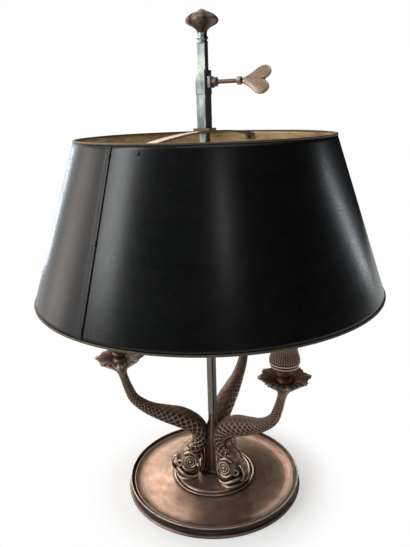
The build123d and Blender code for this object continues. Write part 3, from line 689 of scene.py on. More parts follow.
# %% Lines of the fish
FISH_LINE = [
    # out, up, half thickness, half width
    (38.5, 15.0, 10.6, 12.6), (37.5, 25.0, 12.4, 15.0), (34.0, 35.9, 13.6, 15.8),
    (27.0, 47.5, 13.2, 14.4), (19.8, 58.0, 10.0, 12.8), (16.8, 67.0, 10.4, 12.6),
    (18.0, 76.5, 11.2, 12.6), (23.6, 85.5, 12.2, 12.6), (32.5, 92.8, 12.9, 12.7),
    (44.3, 99.2, 13.2, 12.3), (59.6, 105.2, 11.4, 11.0), (81.8, 115.4, 8.3, 8.2),
    (99.2, 130.2, 6.6, 6.6), (106.4, 146.1, 5.6, 5.6), (110.6, 160.3, 5.0, 5.0),
    (113.4, 171.1, 5.4, 5.4), (114.6, 178.0, 7.0, 7.0),
]
NET_LINES = 9
BAND = 0.42  # half the band's width, as an angle round the body
BODY_START = 45  # the height at which the body comes out of the head


def fish_frames(rows):
    """Middle points, outward directions and half sizes along part of the fish."""
    middle = grid_points(rows[:, 0], 0, rows[:, 1])
    slope = unit(np.gradient(middle, axis=0))
    return middle, grid_points(slope[:, 2], 0, -slope[:, 0]), rows[:, 2:3], rows[:, 3:4]


def scaly_tube(rows, around):
    """The body's points and relief, with the net, the band and the beads raised on it."""
    middle, outer, thick, wide = fish_frames(rows)
    angle = np.linspace(-np.pi, np.pi, around, endpoint=False)[None, :]
    size = np.sqrt(thick * wide)
    way = way_along(middle)
    cells = np.concatenate(([0], np.cumsum(np.diff(way) / size[1:, 0]))) * NET_LINES / 6.28
    cells = cells[:, None]
    turned = NET_LINES * angle / (2 * np.pi)
    nets = cells + turned, cells - turned
    off_one, off_other = (np.abs(net - np.round(net)) for net in nets)
    side = np.abs(angle)
    on_belly = smooth_step(side, 1.9, 2.5)
    net = np.maximum(bell(off_one, 0, 0.115), bell(off_other, 0, 0.115))
    ribs = bell(np.where(angle > 0, off_one, off_other), 0, 0.16)
    net = net * (1 - on_belly) + 0.15 * ribs * on_belly
    on_band = 1 - smooth_step(side, BAND - 0.05, BAND + 0.05)
    bead_row = bell(side - BAND, 0.24, 0.15)
    beads = bead_row * np.cos(np.pi * cells * 2) ** 2
    scales = net * (1 - on_band) * (1 - bead_row)
    band = on_band * (1 - 0.6 * (side / BAND) ** 2)
    groove = bell(side - BAND, 0.04, 0.05)
    fade = np.clip((way[-1] - way) / 10, 0, 1)[:, None] ** 0.5
    lift = size * fade * (0.075 * scales + 0.085 * band + 0.12 * beads - 0.05 * groove)
    lift = lift - size * fade * 0.035 * (1 - net) * (1 - on_band) * (1 - on_belly)
    relief = 0.10 + 0.24 * on_belly + fade * (0.62 * scales + 0.50 * band + 0.75 * beads)
    relief = relief - 0.4 * groove + 0.25 * (1 - fade)
    length = np.sqrt((np.cos(angle) / thick) ** 2 + (np.sin(angle) / wide) ** 2)
    out = thick * np.cos(angle) + lift * np.cos(angle) / thick / length
    points = middle[:, None, :] + out[..., None] * outer[:, None, :]
    points[..., 1] += wide * np.sin(angle) + lift * np.sin(angle) / wide / length
    return points, relief


fish_rows = smooth_through(FISH_LINE, 460)
body_rows = fish_rows[np.argmax(fish_rows[:, 1] > BODY_START) :].copy()
grown = np.clip((body_rows[:, 1:2] - BODY_START) / 6, 0, 1) ** 0.5
body_rows[:, 2:] *= 0.86 + 0.14 * grown
body_points, body_relief = scaly_tube(body_rows, 152)
print("fish body:", body_points.shape[:2], "rows and columns")

# %% [markdown]
# ## Dolphin head
# The head is sculpted from simple closed lumps, as a modeller adds wax: a dome, cheeks, a
# snout, rolled lips, ringed eyes, a beak over the mouth and creases behind the jaw. Remeshing
# melts the lumps into one skin, and a light smoothing rounds the joins as casting does.


# %% Lumps, rolls and rings
def tube_faces(count, around):
    """Faces of a tube of rings, with both ends closed."""
    ends = [list(range(around)), list(range((count - 1) * around, count * around))[::-1]]
    return [*grid_faces(count, around)[:, ::-1].tolist(), *ends]


def lump(centre, sizes, count=28):
    """A closed egg."""
    lat = np.linspace(0.001, np.pi - 0.001, count)[:, None]
    points = round_grid(np.sin(lat), circle(2 * count)[None, :], np.cos(lat))
    points = points.reshape(-1, 3) * np.array(sizes) + np.array(centre)
    return points, tube_faces(count, 2 * count)


def roll(path, count=60, around=20):
    """A round roll along (x, y, z, radius) points, with rounded ends."""
    rows = smooth_through_space(path, count)
    slope = unit(np.gradient(rows[:, :3], axis=0))
    first = unit(np.cross(slope, (0.02, 0.03, 1.0)))
    second = np.cross(slope, first)
    ends = np.linspace(0, 1, count)
    radius = rows[:, 3] * np.clip(np.minimum(ends, 1 - ends) * 14, 0.02, 1) ** 0.5
    angle = circle(around)[None, :, None]
    ring_of_points = np.cos(angle) * first[:, None] + np.sin(angle) * second[:, None]
    points = rows[:, None, :3] + ring_of_points * radius[:, None, None]
    return points.reshape(-1, 3), tube_faces(count, around)


def smooth_through_space(path, count):
    """count points on a smooth curve through (x, y, z, radius) rows."""
    rows = np.array(path, float)
    spread = np.linspace(0, len(rows) - 1, count)
    number = np.clip(spread.astype(int), 0, len(rows) - 2)
    padded = with_ends(rows)
    return curve_between(*(padded[number + k] for k in range(4)), (spread - number)[:, None])


def ring(centre, facing, radius, thickness, count=48, around=14):
    """A round ring whose hole faces a direction."""
    facing = unit(np.array(facing, float))
    first = unit(np.cross(facing, (0, 0, 1.0)))
    angle, small = circle(count)[:, None, None], circle(around)[None, :, None]
    out = np.cos(angle) * first + np.sin(angle) * np.cross(facing, first)
    points = out * (radius + thickness * np.cos(small)) + facing * thickness * np.sin(small)
    points = points.reshape(-1, 3) + np.array(centre)
    return points, face_outwards(points, grid_faces(count, around, True)).tolist()


def mirrored(shape):
    """The same lump on the fish's other cheek."""
    points, faces = shape
    return points * np.array((1, -1, 1)), [list(face)[::-1] for face in faces]

# %% [markdown]
# The skull is the lower end of the fish's own line, pressed in at the mouth. Lumps, rolls and
# rings are laid over it. Whatever belongs to a cheek is made once and mirrored.

# %% Sculpt the head
SKULL_ROWS, SKULL_STEPS = 90, 72
MOUTH_HEIGHT, MOUTH_SIZE, MOUTH_DEPTH = 24.5, 3.2, 7.0
fish_angle = np.linspace(-np.pi, np.pi, SKULL_STEPS, endpoint=False)[None, :]
head_rows = smooth_through(FISH_LINE[:6], SKULL_ROWS)
head_rows[:, 2:] *= 1 - 0.07 * np.clip((head_rows[:, 1:2] - 44) / 6, 0, 1)
middle, outer, thick, wide = fish_frames(head_rows)
mouth = bell(head_rows[:, 1:2], MOUTH_HEIGHT, MOUTH_SIZE)
front = np.clip(np.cos(fish_angle), 0, 1) ** 1.5
reach_out = thick * np.cos(fish_angle) - MOUTH_DEPTH * mouth * front
head_points = middle[:, None, :] + reach_out[..., None] * outer[:, None, :]
head_points[..., 1] += wide * np.sin(fish_angle) * (1 - 0.10 * mouth)
skull_faces = [face[::-1] for face in tube_faces(SKULL_ROWS, SKULL_STEPS)]
skull = head_points.reshape(-1, 3), skull_faces

EYE = (33.2, 15.6, 39.2)
EYE_FACES = (0.22, 0.95, 0.20)
NOSTRIL, NOSTRIL_FACES = (46.4, 8.4, 34.6), (0.62, 0.76, 0.2)
brow = [
    (24.5, 14.6, 40.0, 1.0), (27.4, 14.8, 48.4, 1.6), (34.6, 12.8, 51.6, 1.9),
    (41.6, 9.6, 47.6, 1.4),
]
fold = [
    (27.6, 16.6, 29.6, 1.0), (33.0, 17.4, 28.2, 1.7), (38.6, 16.6, 28.8, 1.8),
    (43.6, 13.0, 32.4, 1.2),
]
# from the jaw up to the neck
creases = [
    [(23.0, 14.8, 22, 1.1), (21.8, 15.2, 31, 1.5), (22.4, 15.0, 39, 1.4), (23.8, 13.8, 47, 1.0)],
    [(19.0, 12.2, 20, 0.9), (17.8, 12.8, 30, 1.3), (17.8, 13.0, 40, 1.4), (18.2, 12.0, 50, 1.0)],
    [(15.2, 8.6, 18, 0.9), (14.4, 9.2, 32, 1.2), (13.8, 9.4, 46, 1.2), (13.4, 9.0, 56, 0.9)],
]
one_cheek = [
    # ringed eye on its socket, brow over it and cheek under it
    ring(EYE, EYE_FACES, 7.4, 1.15),
    ring((33.3, 16.2, 39.3), EYE_FACES, 4.3, 0.85),
    lump((33.4, 16.2, 39.4), (2.0, 1.9, 2.0)),
    lump((33.0, 11.6, 39.0), (7.4, 4.6, 7.4)),
    roll(brow),
    lump((30.5, 12.4, 26.0), (8.5, 5.5, 6.0)),
    # pale fold under the eye, and the nostril scroll
    roll(fold),
    ring(NOSTRIL, NOSTRIL_FACES, 3.4, 1.4),
    *[roll(crease) for crease in creases],
]


def round_the_front(half, foremost):
    """A path from one cheek to the other, through the foremost point."""
    return [*half, foremost, *[(x, -y, z, radius) for x, y, z, radius in half[::-1]]]


upper_lip = [
    (23, 16.4, 19.5, 1.5), (30, 17.6, 17.8, 2.0), (37.5, 16.6, 18.8, 2.4),
    (44.5, 11.5, 22.6, 2.6),
]
lower_lip = [
    (28, 17.6, 15.9, 1.6), (36.3, 18.9, 15.9, 2.0), (43.4, 17.2, 16.0, 2.4),
    (48.0, 10.8, 16.4, 2.6),
]
head_shapes = [
    skull,
    roll(round_the_front(upper_lip, (49.5, 0, 25.5, 2.7)), 110),
    roll(round_the_front(lower_lip, (49.4, 0, 16.6, 2.7)), 90),
    # forehead, snout, top and back of the dome, and chin
    lump((31.0, 0, 46.0), (12.6, 12.8, 12.4)),
    lump((41.6, 0, 34.6), (8.4, 9.6, 7.4)),
    lump((25.6, 0, 52.5), (10.8, 12.0, 10.5)),
    lump((27.5, 0, 47.0), (13.0, 13.4, 9.0)),
    lump((36.0, 0, 17.6), (14.0, 16.4, 3.8)),
]
beak = [
    (47.0, 44.4, 1.2), (52.3, 42.4, 1.4), (55.7, 36.6, 1.5),
    (55.9, 29.6, 1.5), (53.4, 24.2, 1.4), (50.2, 22.6, 1.3),
]
for side_step in (-3.4, 0, 3.4):
    # three strands side by side curl down from the brow to the mouth
    head_shapes.append(roll([(x, side_step, z, radius) for x, z, radius in beak], 80, 16))
for shape in one_cheek:
    head_shapes += [shape, mirrored(shape)]
print("the head is made of", len(head_shapes), "lumps")

# %% [markdown]
# The melted skin also needs its wear and its shade. Two measures give them: how far a point
# stands out from its neighbours, and how many of the rays that leave it get away from the
# casting, which darkens shut-in places partly as tarnish and partly as painted occlusion shade.


# %% Melt the lumps together
def melted(shapes, voxel, smoothing):
    """One skin round overlapping closed shapes, as points and faces in millimetres."""
    points, faces = [], []
    for shape_points, shape_faces in shapes:
        start = sum(len(p) for p in points)
        points.append(shape_points)
        faces += [[start + corner for corner in face] for face in shape_faces]
    mesh = bpy.data.meshes.new("wax")
    mesh.from_pydata(np.vstack(points).tolist(), [], faces)
    wax = in_scene("wax", mesh)
    remesh = wax.modifiers.new("melt", "REMESH")
    remesh.mode, remesh.voxel_size = "VOXEL", voxel
    smooth = wax.modifiers.new("smooth", "SMOOTH")
    smooth.factor, smooth.iterations = 0.5, smoothing
    graph = bpy.context.evaluated_depsgraph_get()
    made = bpy.data.meshes.new_from_object(wax.evaluated_get(graph))
    bpy.data.objects.remove(wax)
    skin_points = np.zeros(len(made.vertices) * 3)
    made.vertices.foreach_get("co", skin_points)
    skin_faces = [list(polygon.vertices) for polygon in made.polygons]
    return skin_points.reshape(-1, 3), skin_faces


def carved_relief(points, faces, rounds, sharpness=2.2):
    """1 on ridges and 0 in hollows, from how far each point stands out. Also the normals."""
    mesh = bpy.data.meshes.new("measured")
    mesh.from_pydata(points.tolist(), [], faces)
    normals = np.zeros(len(points) * 3)
    mesh.vertices.foreach_get("normal", normals)
    edges = np.zeros(len(mesh.edges) * 2, int)
    mesh.edges.foreach_get("vertices", edges)
    edges, normals = edges.reshape(-1, 2), normals.reshape(-1, 3)
    bpy.data.meshes.remove(mesh)
    counts = np.bincount(edges.ravel(), minlength=len(points))[:, None]

    def neighbours_mean(values):
        total = np.zeros_like(values)
        np.add.at(total, edges[:, 0], values[edges[:, 1]])
        np.add.at(total, edges[:, 1], values[edges[:, 0]])
        return total / np.maximum(counts, 1)

    around = points
    for _ in range(rounds):
        around = neighbours_mean(around)
    height = np.einsum("ij,ij->i", points - around, normals)[:, None]
    for _ in range(2):
        height = neighbours_mean(height)
    scale = max(np.percentile(np.abs(height), 90), 1e-6)
    return 0.5 + sharpness * height.ravel() / scale * 0.25, normals


GOLDEN_ANGLE = 2.39996  # spreads any number of rays evenly


def openness(points, faces, normals, reach, rays):
    """1 where rays get away, and less the more the casting shuts a place in: tarnish and painted
    occlusion shade.
    """
    tree = BVHTree.FromPolygons(points.tolist(), faces)
    turn = np.arange(rays) * GOLDEN_ANGLE
    up = 1 - (np.arange(rays) + 0.5) / rays * 0.9
    flat = np.sqrt(1 - up * up)
    fan = np.stack((flat * np.cos(turn), flat * np.sin(turn), up), axis=1)
    helper = np.where(np.abs(normals[:, :1]) < 0.7, (1.0, 0, 0), (0, 1.0, 0))
    first = unit(np.cross(normals, helper))
    second = np.cross(normals, first)
    open_share = np.zeros(len(points))
    starts = points + normals * 0.25
    for ray in fan:
        ways = first * ray[0] + second * ray[1] + normals * ray[2]
        for number, (start, way) in enumerate(zip(starts.tolist(), ways.tolist())):
            if tree.ray_cast(start, way, reach)[0] is None:
                open_share[number] += 1 / rays
    return open_share


PLINTH_TOP = 15.0
HEAD_VOXEL, OPENNESS_RAYS = ((0.65, 20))
head_skin, head_skin_faces = melted(head_shapes, HEAD_VOXEL, smoothing=2)
head_skin[:, 2] = np.maximum(head_skin[:, 2], PLINTH_TOP)
ridges, head_normals = carved_relief(head_skin, head_skin_faces, rounds=4)
open_share = openness(head_skin, head_skin_faces, head_normals, 9, OPENNESS_RAYS)
# shut-in places are darker: tarnish, and painted occlusion shade
head_wear_and_shade = (ridges - 0.5) * 0.60 + smooth_step(open_share, 0.15, 0.95) * 0.36 + 0.18
print("head:", len(head_skin), "points")

# %% [markdown]
# The three dolphins came from one pattern, so they share one mesh and differ only in their
# bearing on the plinth.

# %% Cast the three dolphins
riser_at, bearings = {}, {}
for side in ARMS:
    low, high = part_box("riser_" + side)
    riser_at[side] = (low.x + high.x) / 2 / MM, (low.y + high.y) / 2 / MM
    middle = (low + high) / 2
    bearings[side] = math.atan2(middle.y, middle.x)


def on_each_arm(name, node, points, faces, relief, places):
    """Three castings that share one mesh, each turned to its own arm."""
    mesh = new_mesh(name + ARMS[0], points, faces, cast_brass, relief)
    for side in ARMS:
        at = places.get(side, (0, 0))
        dressed(name + side, mesh, "stand", node + side, at, bearings[side])


flat_body = body_points.reshape(-1, 3)
body_faces = face_outwards(flat_body, grid_faces(*body_points.shape[:2]))
all_points = np.vstack((flat_body, head_skin))
all_faces = body_faces.tolist() + [[i + len(flat_body) for i in f] for f in head_skin_faces]
fish_relief_and_shade = np.concatenate((body_relief.ravel(), head_wear_and_shade))
on_each_arm("fish_", "dolphin_", all_points, all_faces, fish_relief_and_shade, {})
print("bearings:", {side: round(math.degrees(angle), 1) for side, angle in bearings.items()})

# %% [markdown]
# The column between the fish isn't round to the eye: the castings' flat backs meet there and
# leave three shallow folds. It is a star of three blunt arms, one towards each fish, with a pale
# line painted in each fold as a painted highlight, and it is darker towards its foot.

# %% Fill the middle
core_steps = 180
angle = circle(core_steps)[None, :]
arm_bearings = np.sort(np.mod([bearings[side] for side in ARMS], 2 * np.pi))
off_arms = [np.abs((angle - b + np.pi) % (2 * np.pi) - np.pi) for b in arm_bearings]
to_fold = np.min(off_arms, axis=0) / (np.pi / 3)
core_line = [
    # radius in the folds, height, share of the arms
    (2.0, 15.0, 0.2), (9.0, 15.05, 0.6), (13.0, 15.1, 1.0), (13.0, 17.4, 1.0),
    (10.8, 19.6, 1.0), (10.0, 30, 1.0), (9.8, 45, 1.0), (9.8, 60, 1.0), (9.4, 68, 0.9),
    (8.2, 76, 0.6), (6.9, 84, 0.2), (5.6, 92, 0.0), (5.0, 100.6, 0.0), (4.2, 101.4, 0.0),
]
core_rows = smooth_through(core_line, 90)
fold_radius, core_height, arm_share = (core_rows[:, k : k + 1] for k in range(3))
arm_extra = 8.0 * np.clip(arm_share, 0, 1) * np.clip(1 - to_fold, 0, 1) ** 1.4
points = round_grid(fold_radius + arm_extra, angle, core_height).reshape(-1, 3)
# a painted highlight along each fold, and darker towards the foot
core_tone_and_highlight = 0.36 + 0.28 * bell(to_fold, 1.0, 0.07)
core_tone_and_highlight = core_tone_and_highlight * np.clip((core_height - 13) / 6, 0.4, 1)
faces = face_outwards(points, grid_faces(len(core_rows), core_steps))
core_mesh = new_mesh("folded_core", points, faces, cast_brass, core_tone_and_highlight.ravel())
dressed("folded_core", core_mesh, "stand", "column")

# %% [markdown]
# ## Drip pans
# Each tail opens into a leafy pan that caught the candle's wax. It has eight petals with
# ribs and pointed edges, and their tips curl out and down. One line is drawn through a
# petal's middle and one through the cut between two petals, and the surface swings from one
# to the other eight times round.

# %% Form the pans
PETALS = 8
UNDER_ROWS, TOP_ROWS = 44, 34
petal_under = [
    (5.3, 163), (5.5, 167), (8.0, 173), (14.5, 179), (20.0, 183), (25.5, 187.4),
    (28.4, 189.4), (30.0, 190.4),
]
petal_top = [
    (30.4, 191.2), (28.2, 192.0), (24.0, 191.6), (19.0, 190.2), (14.5, 187.8),
    (10.5, 185.6), (9.0, 184.9), (5.0, 184.6),
]
cut_under = [
    (5.3, 163), (5.4, 167), (7.0, 173), (12.2, 179), (17.0, 183.2), (21.5, 187.2),
    (23.4, 188.8), (24.5, 189.8),
]
cut_top = [
    (24.8, 190.4), (23.4, 190.9), (20.5, 190.2), (17.0, 188.8), (13.5, 187.0),
    (10.5, 185.5), (9.0, 184.9), (5.0, 184.6),
]


def once_round(under, top):
    """The pan's section, from the tail up the underside and back over the top."""
    return np.vstack((smooth_through(under, UNDER_ROWS), smooth_through(top, TOP_ROWS)))


petal_rows, cut_rows = once_round(petal_under, petal_top), once_round(cut_under, cut_top)
pan_steps = 320
angle = circle(pan_steps)[None, :]
across_petal = np.abs((angle * PETALS / (2 * np.pi) + 0.5) % 1 - 0.5) * 2
petal = 1 - across_petal**1.7
rows_out, rows_up = (
    petal_rows[:, k : k + 1] * petal + cut_rows[:, k : k + 1] * (1 - petal) for k in (0, 1)
)
to_edge = np.clip((rows_out - 7) / 22, 0, 1)
veins = np.cos(across_petal * np.pi * 2.5)
rows_out = rows_out + to_edge**4 * 1.7 * (np.abs(veins) ** 1.2 - 0.6)
upper_side = (np.arange(len(petal_rows)) >= UNDER_ROWS)[:, None]
vein_lift = 0.38 * veins * to_edge**0.6
rows_up = rows_up + np.where(upper_side, vein_lift, -vein_lift)
uneven = np.sin(angle * 3 + 1.0) + 0.6 * np.sin(angle * 5 + 2.4)
rows_up = rows_up + (0.55 * uneven - 0.5) * to_edge**2
pan_points = round_grid(rows_out, angle, rows_up)
# the pan's stem leans in and down to the tail
pan_points[..., 0] += -0.035 * np.clip(180 - rows_up, 0, 30) ** 1.62
pan_points = pan_points.reshape(-1, 3)
pan_faces = face_outwards(pan_points, grid_faces(len(petal_rows), pan_steps, True))
pan_relief = 0.44 + 0.04 * ~upper_side + np.where(upper_side, 0.16, -0.40) * veins * to_edge**0.5
pan_relief = pan_relief + 0.25 * to_edge**5 - 0.45 * (1 - petal) ** 2 * to_edge
pan_relief = pan_relief - 0.45 * bell(rows_out, 9.0, 2.5) * upper_side
on_each_arm("petal_pan_", "drip_pan_", pan_points, pan_faces, pan_relief.ravel(), riser_at)

# %% [markdown]
# ## Candle cups
# The cups are little urns: a foot and stem, a belly with two beads, and a reeded body under
# a plain lip. Reeding was rolled into the wall in even strokes, so it is a ripple of the
# radius that fades out before the beads and the lip.

# %% Turn the cups
REEDS = 40
cup_line = softened(
    [
        (5.0, 184.6, 0), (9.0, 184.6, 0.3), (9.0, 186.0, 0.6), (8.2, 187.2, 0.8),
        (6.9, 189.0, 1.0), (6.7, 192.6, 2.0), (8.4, 194.0, 0.5), (8.4, 195.4, 0.5),
        (6.9, 196.4, 0.7), (7.2, 199.6, 1.0), (12.6, 201.6, 2.0), (15.6, 204.2, 1.0),
        (16.4, 205.2, 0.5), (16.4, 206.4, 0.5), (15.9, 207.0, 0.4), (16.4, 208.0, 0.4),
        (17.4, 209.2, 0.6), (17.4, 210.4, 0.6), (16.7, 211.2, 0.5), (17.3, 213.0, 1.0),
        (16.0, 217.5, 3.0), (14.1, 224.0, 4.0), (13.7, 230.0, 3.0), (13.9, 234.6, 0.6),
        (15.4, 235.6, 0.5), (16.0, 237.4, 0.8), (16.0, 239.6, 0.8), (15.2, 240.6, 0.6),
        (13.6, 240.4, 0.6), (13.0, 239.0, 0.6), (13.0, 204.6, 0.5), (5.0, 204.6, 0),
    ],
    0.45,
)


def reeding(angle, radius, height):
    zone = np.clip((height - 211.8) / 2, 0, 1) * np.clip((234.0 - height) / 2, 0, 1)
    leaves = np.clip((height - 198.5) / 3, 0, 1) * np.clip((204.4 - height) / 2, 0, 1)
    outside = radius > 13.3
    fine = np.cos(angle * REEDS)
    broad = np.abs(np.cos(angle * 6)) ** 0.6
    offset = outside * zone * 0.24 * fine + (leaves * (height < 208)) * (broad - 0.6) * 0.9
    beads = bell(height, 205.8, 0.9) + bell(height, 209.8, 0.9)
    lip = bell(height, 238.5, 1.6)
    relief = 0.46 + outside * (0.18 * zone * fine + 0.5 * beads + 0.35 * lip)
    relief = relief + leaves * (broad - 0.6) * 0.9
    groove = bell(height, 207.3, 0.6) + bell(height, 211.4, 0.6)
    return offset, relief - 0.4 * groove * outside


cup = rippled_turning(cup_line, 288, reeding)
on_each_arm("reeded_cup_", "candle_cup_", *cup, riser_at)

# %% [markdown]
# ## Finial
# The finial screws onto the rod and stops the slider. Its knob is cast with six lobes like
# a melon, over a small turned neck. The lobes are a ripple of the radius with narrow valleys.

# %% Cast the finial
knob_line = smooth_through(
    [
        (2.6, 561.5), (5.2, 561.6), (6.4, 564.2), (10.6, 567.4), (15.6, 569.9), (17.8, 572.6),
        (17.6, 575.4), (14.6, 578.6), (10.2, 581.0), (5.6, 582.8), (2.4, 584.4), (0.4, 585.0),
    ],
    90,
)
knob_line = np.vstack((knob_line, [(0.2, 584.6), (0.2, 563.0), (2.6, 562.4)]))


def lobes(angle, radius, height):
    swell = np.abs(np.sin(3 * (angle - math.radians(8.5)))) ** 0.5
    share = np.clip(radius / 17, 0, 1) ** 1.5 * np.clip((584.2 - height) / 4, 0, 1)
    offset = (swell - 0.9) * 2.3 * share
    return offset, -0.35 + 0.95 * swell * share + 0.45 * (1 - share)


KNOB_STEPS = 256
turned_piece("melon_knob", "finial_knob", brown_brass, knob_line, KNOB_STEPS, lobes)

neck_line = softened(
    [
        (2.6, 551.0, 0), (6.4, 551.0, 0.3), (6.5, 552.2, 0.5), (5.0, 553.4, 0.6),
        (5.4, 554.6, 0.5), (6.5, 555.4, 0.8), (6.5, 557.0, 0.8), (5.2, 558.2, 0.6),
        (5.0, 559.6, 0.8), (5.6, 561.4, 0.4), (2.6, 561.4, 0),
    ],
    0.3,
)


def neck_relief(angle, radius, height):
    return 0, 0.3 + 0.5 * np.clip((radius - 5.0) / 1.5, 0, 1)


turned_piece("turned_neck", "finial_neck", bright_bar, neck_line, 96, neck_relief)

# %% [markdown]
# ## Shade
# The shade is one sheet of metal rolled into a cone and lapped at a riveted seam. The
# outside is black satin paint and the inside dull gold, so its mesh has two materials. Hand
# rolling leaves faint flats, which break the long reflections. The sheet is drawn as a
# section that goes once round, from the lap's start to its end, which lies on top.

# %% Roll the shade
TOP, BOTTOM = 453.0, 276.0
TOP_RADIUS, BOTTOM_RADIUS = 146.4, 205.2
WALL, LAP_START, LAP = 0.5, -13.5, 1.96  # millimetres, degrees, degrees
ONCE_ROUND = 360 + LAP


def cone_radius(height):
    return BOTTOM_RADIUS - (height - BOTTOM) * (BOTTOM_RADIUS - TOP_RADIUS) / (TOP - BOTTOM)


shade_rows, shade_steps = 40, 480
height = np.linspace(BOTTOM, TOP, shade_rows)[:, None]
turned = np.linspace(0, ONCE_ROUND, shade_steps)[None, :]
bearing = np.radians(LAP_START + turned)
lift = np.clip(turned - 359.0, 0, 1) * (WALL + 0.05)
flats = 0.16 * np.sin(bearing * 5 + 0.7) + 0.10 * np.sin(bearing * 11 + 2.0)
flats = flats * np.clip(np.minimum(turned, ONCE_ROUND - turned) / 12, 0, 1)
flats = flats * np.sin(np.pi * (height - BOTTOM) / (TOP - BOTTOM))
outside = cone_radius(height) + lift + flats
layers = [
    grid_points(radius * np.sin(bearing), -radius * np.cos(bearing), height).reshape(-1, 3)
    for radius in (outside, outside - WALL)
]
sheet_points = np.concatenate(layers)
outer_faces = grid_faces(shade_rows, shade_steps, False, False)
inner_faces = outer_faces[:, ::-1] + len(layers[0])


def strip(line, flip):
    """Faces that join the two layers along a line of points."""
    inner_line = line + len(layers[0])
    faces = np.stack((line[:-1], line[1:], inner_line[1:], inner_line[:-1]), -1)
    return faces[:, ::-1] if flip else faces


bottom_line, start_line = np.arange(shade_steps), np.arange(shade_rows) * shade_steps
top_line, end_line = bottom_line + (shade_rows - 1) * shade_steps, start_line + shade_steps - 1
edges = ((bottom_line, True), (top_line, False), (start_line, False), (end_line, True))
edge_faces = np.vstack([strip(*edge) for edge in edges])
print("shade sheet:", len(sheet_points), "points")


# %% [markdown]
# Black satin paint is nearly all gloss: the colour is close to nothing, and what is seen is
# the soft box in it. Dust and fine scuffs change its roughness in patches. The gold inside is
# a flat bronze paint with a little metal in it.


# %% Paint the shade
def satin_black(tree):
    clouds = tree.noise(9, 4, 0.6)
    dust = tree.noise(700, 4, 0.7)
    brush = tree.streaks((240, 240, 12), 3, 0.6)
    specks = tree.noise(330, 2, 0.5).step(0.73, 0.76)
    scuffs = tree.noise(26, 6, 0.75).step(0.60, 0.72)
    colour = tree.mix(clouds, (0.0035, 0.0040, 0.0045), (0.009, 0.0095, 0.0098))
    colour = tree.mix(scuffs * 0.35, colour, (0.03, 0.028, 0.024))
    colour = tree.mix(specks * 0.6, colour, (0.14, 0.13, 0.11))
    return surface(
        tree, colour, 0.21 + clouds * 0.08 + brush * 0.06 + scuffs * 0.10,
        dust * 0.6 + brush, 0.00012, 0.25,
    )


def dull_gold(tree):
    clouds = tree.noise(14, 5, 0.6)
    brush = tree.streaks((60, 60, 300), 4, 0.6)
    worn = (clouds + brush * 0.4).step(0.35, 1.0)
    colour = tree.ramp(
        worn, (0.0, (0.20, 0.125, 0.048)), (0.55, (0.42, 0.30, 0.14)), (1.0, (0.58, 0.45, 0.24))
    )
    return surface(tree, colour, 0.52 + brush * 0.12, brush + clouds, 0.0002, 0.3)


def worn_gilt(tree):
    clouds = tree.noise(60, 5, 0.7)
    chips = tree.noise(220, 5, 0.7).step(0.52, 0.60)
    colour = tree.mix(clouds.step(0.3, 0.7), (0.040, 0.028, 0.017), (0.155, 0.115, 0.072))
    colour = tree.mix(chips * 0.7, colour, (0.02, 0.018, 0.016))
    return surface(
        tree, colour, 0.40 + clouds * 0.2,
        clouds - chips * 0.5, 0.0002, 0.5, Metallic=0.75 - chips * 0.6,
    )


satin_paint = finish("black_satin_paint", satin_black, **{"Specular IOR Level": 0.22})
gold_paint = finish("dull_gold_paint", dull_gold, Metallic=0.35)
gilt = finish("worn_gilt", worn_gilt)
shade_faces = np.vstack((outer_faces, edge_faces, inner_faces))
shade_mesh = new_mesh("rolled_shade", sheet_points, shade_faces, satin_paint)
shade_mesh.materials.append(gold_paint)
gold_slots = np.arange(len(shade_mesh.polygons)) >= len(outer_faces) + len(edge_faces)
shade_mesh.polygons.foreach_set("material_index", gold_slots.astype(int))
dressed("rolled_shade", shade_mesh, "shade_carriage", "shade")

# %% [markdown]
# ## Rims
# Each edge of the shade is rolled over a wire. The wire is never quite true, so the ring's
# height and thickness waver a little. It stays within the solid ring's size.


# %% Roll the edges
def wired_edge(name, node, height, wander):
    around, small = (480), 14
    big, little = circle(around)[:, None], circle(small)[None, :]
    thickness = 1.2 + 0.08 * np.sin(big * 7 + wander)
    radius = cone_radius(height) - WALL / 2 + thickness * np.cos(little)
    up = height + thickness * np.sin(little) * 0.97 + 0.05 * np.sin(big * 3 + wander)
    points = round_grid(radius, big, up).reshape(-1, 3)
    faces = face_outwards(points, grid_faces(around, small, True))
    relief = np.tile(0.5 + 0.5 * np.sin(little), (around, 1)).ravel()
    mesh = new_mesh(name, points, faces, gilt, relief)
    dressed(name, mesh, "shade_carriage", node)


wired_edge("top_wire_edge", "shade_top_rim", TOP, 0.4)
wired_edge("bottom_wire_edge", "shade_bottom_rim", BOTTOM, 2.1)

# %% [markdown]
# ## Key
# The key is a thumb screw. Its wing was cast as a heart with soft rounded edges, thicker in
# the middle. The heart is drawn as an outline that shrinks to a point while it swells to both
# sides. It is melted together with its collar, so that one flows into the other, and the whole
# wing leans 25 degrees to one side.

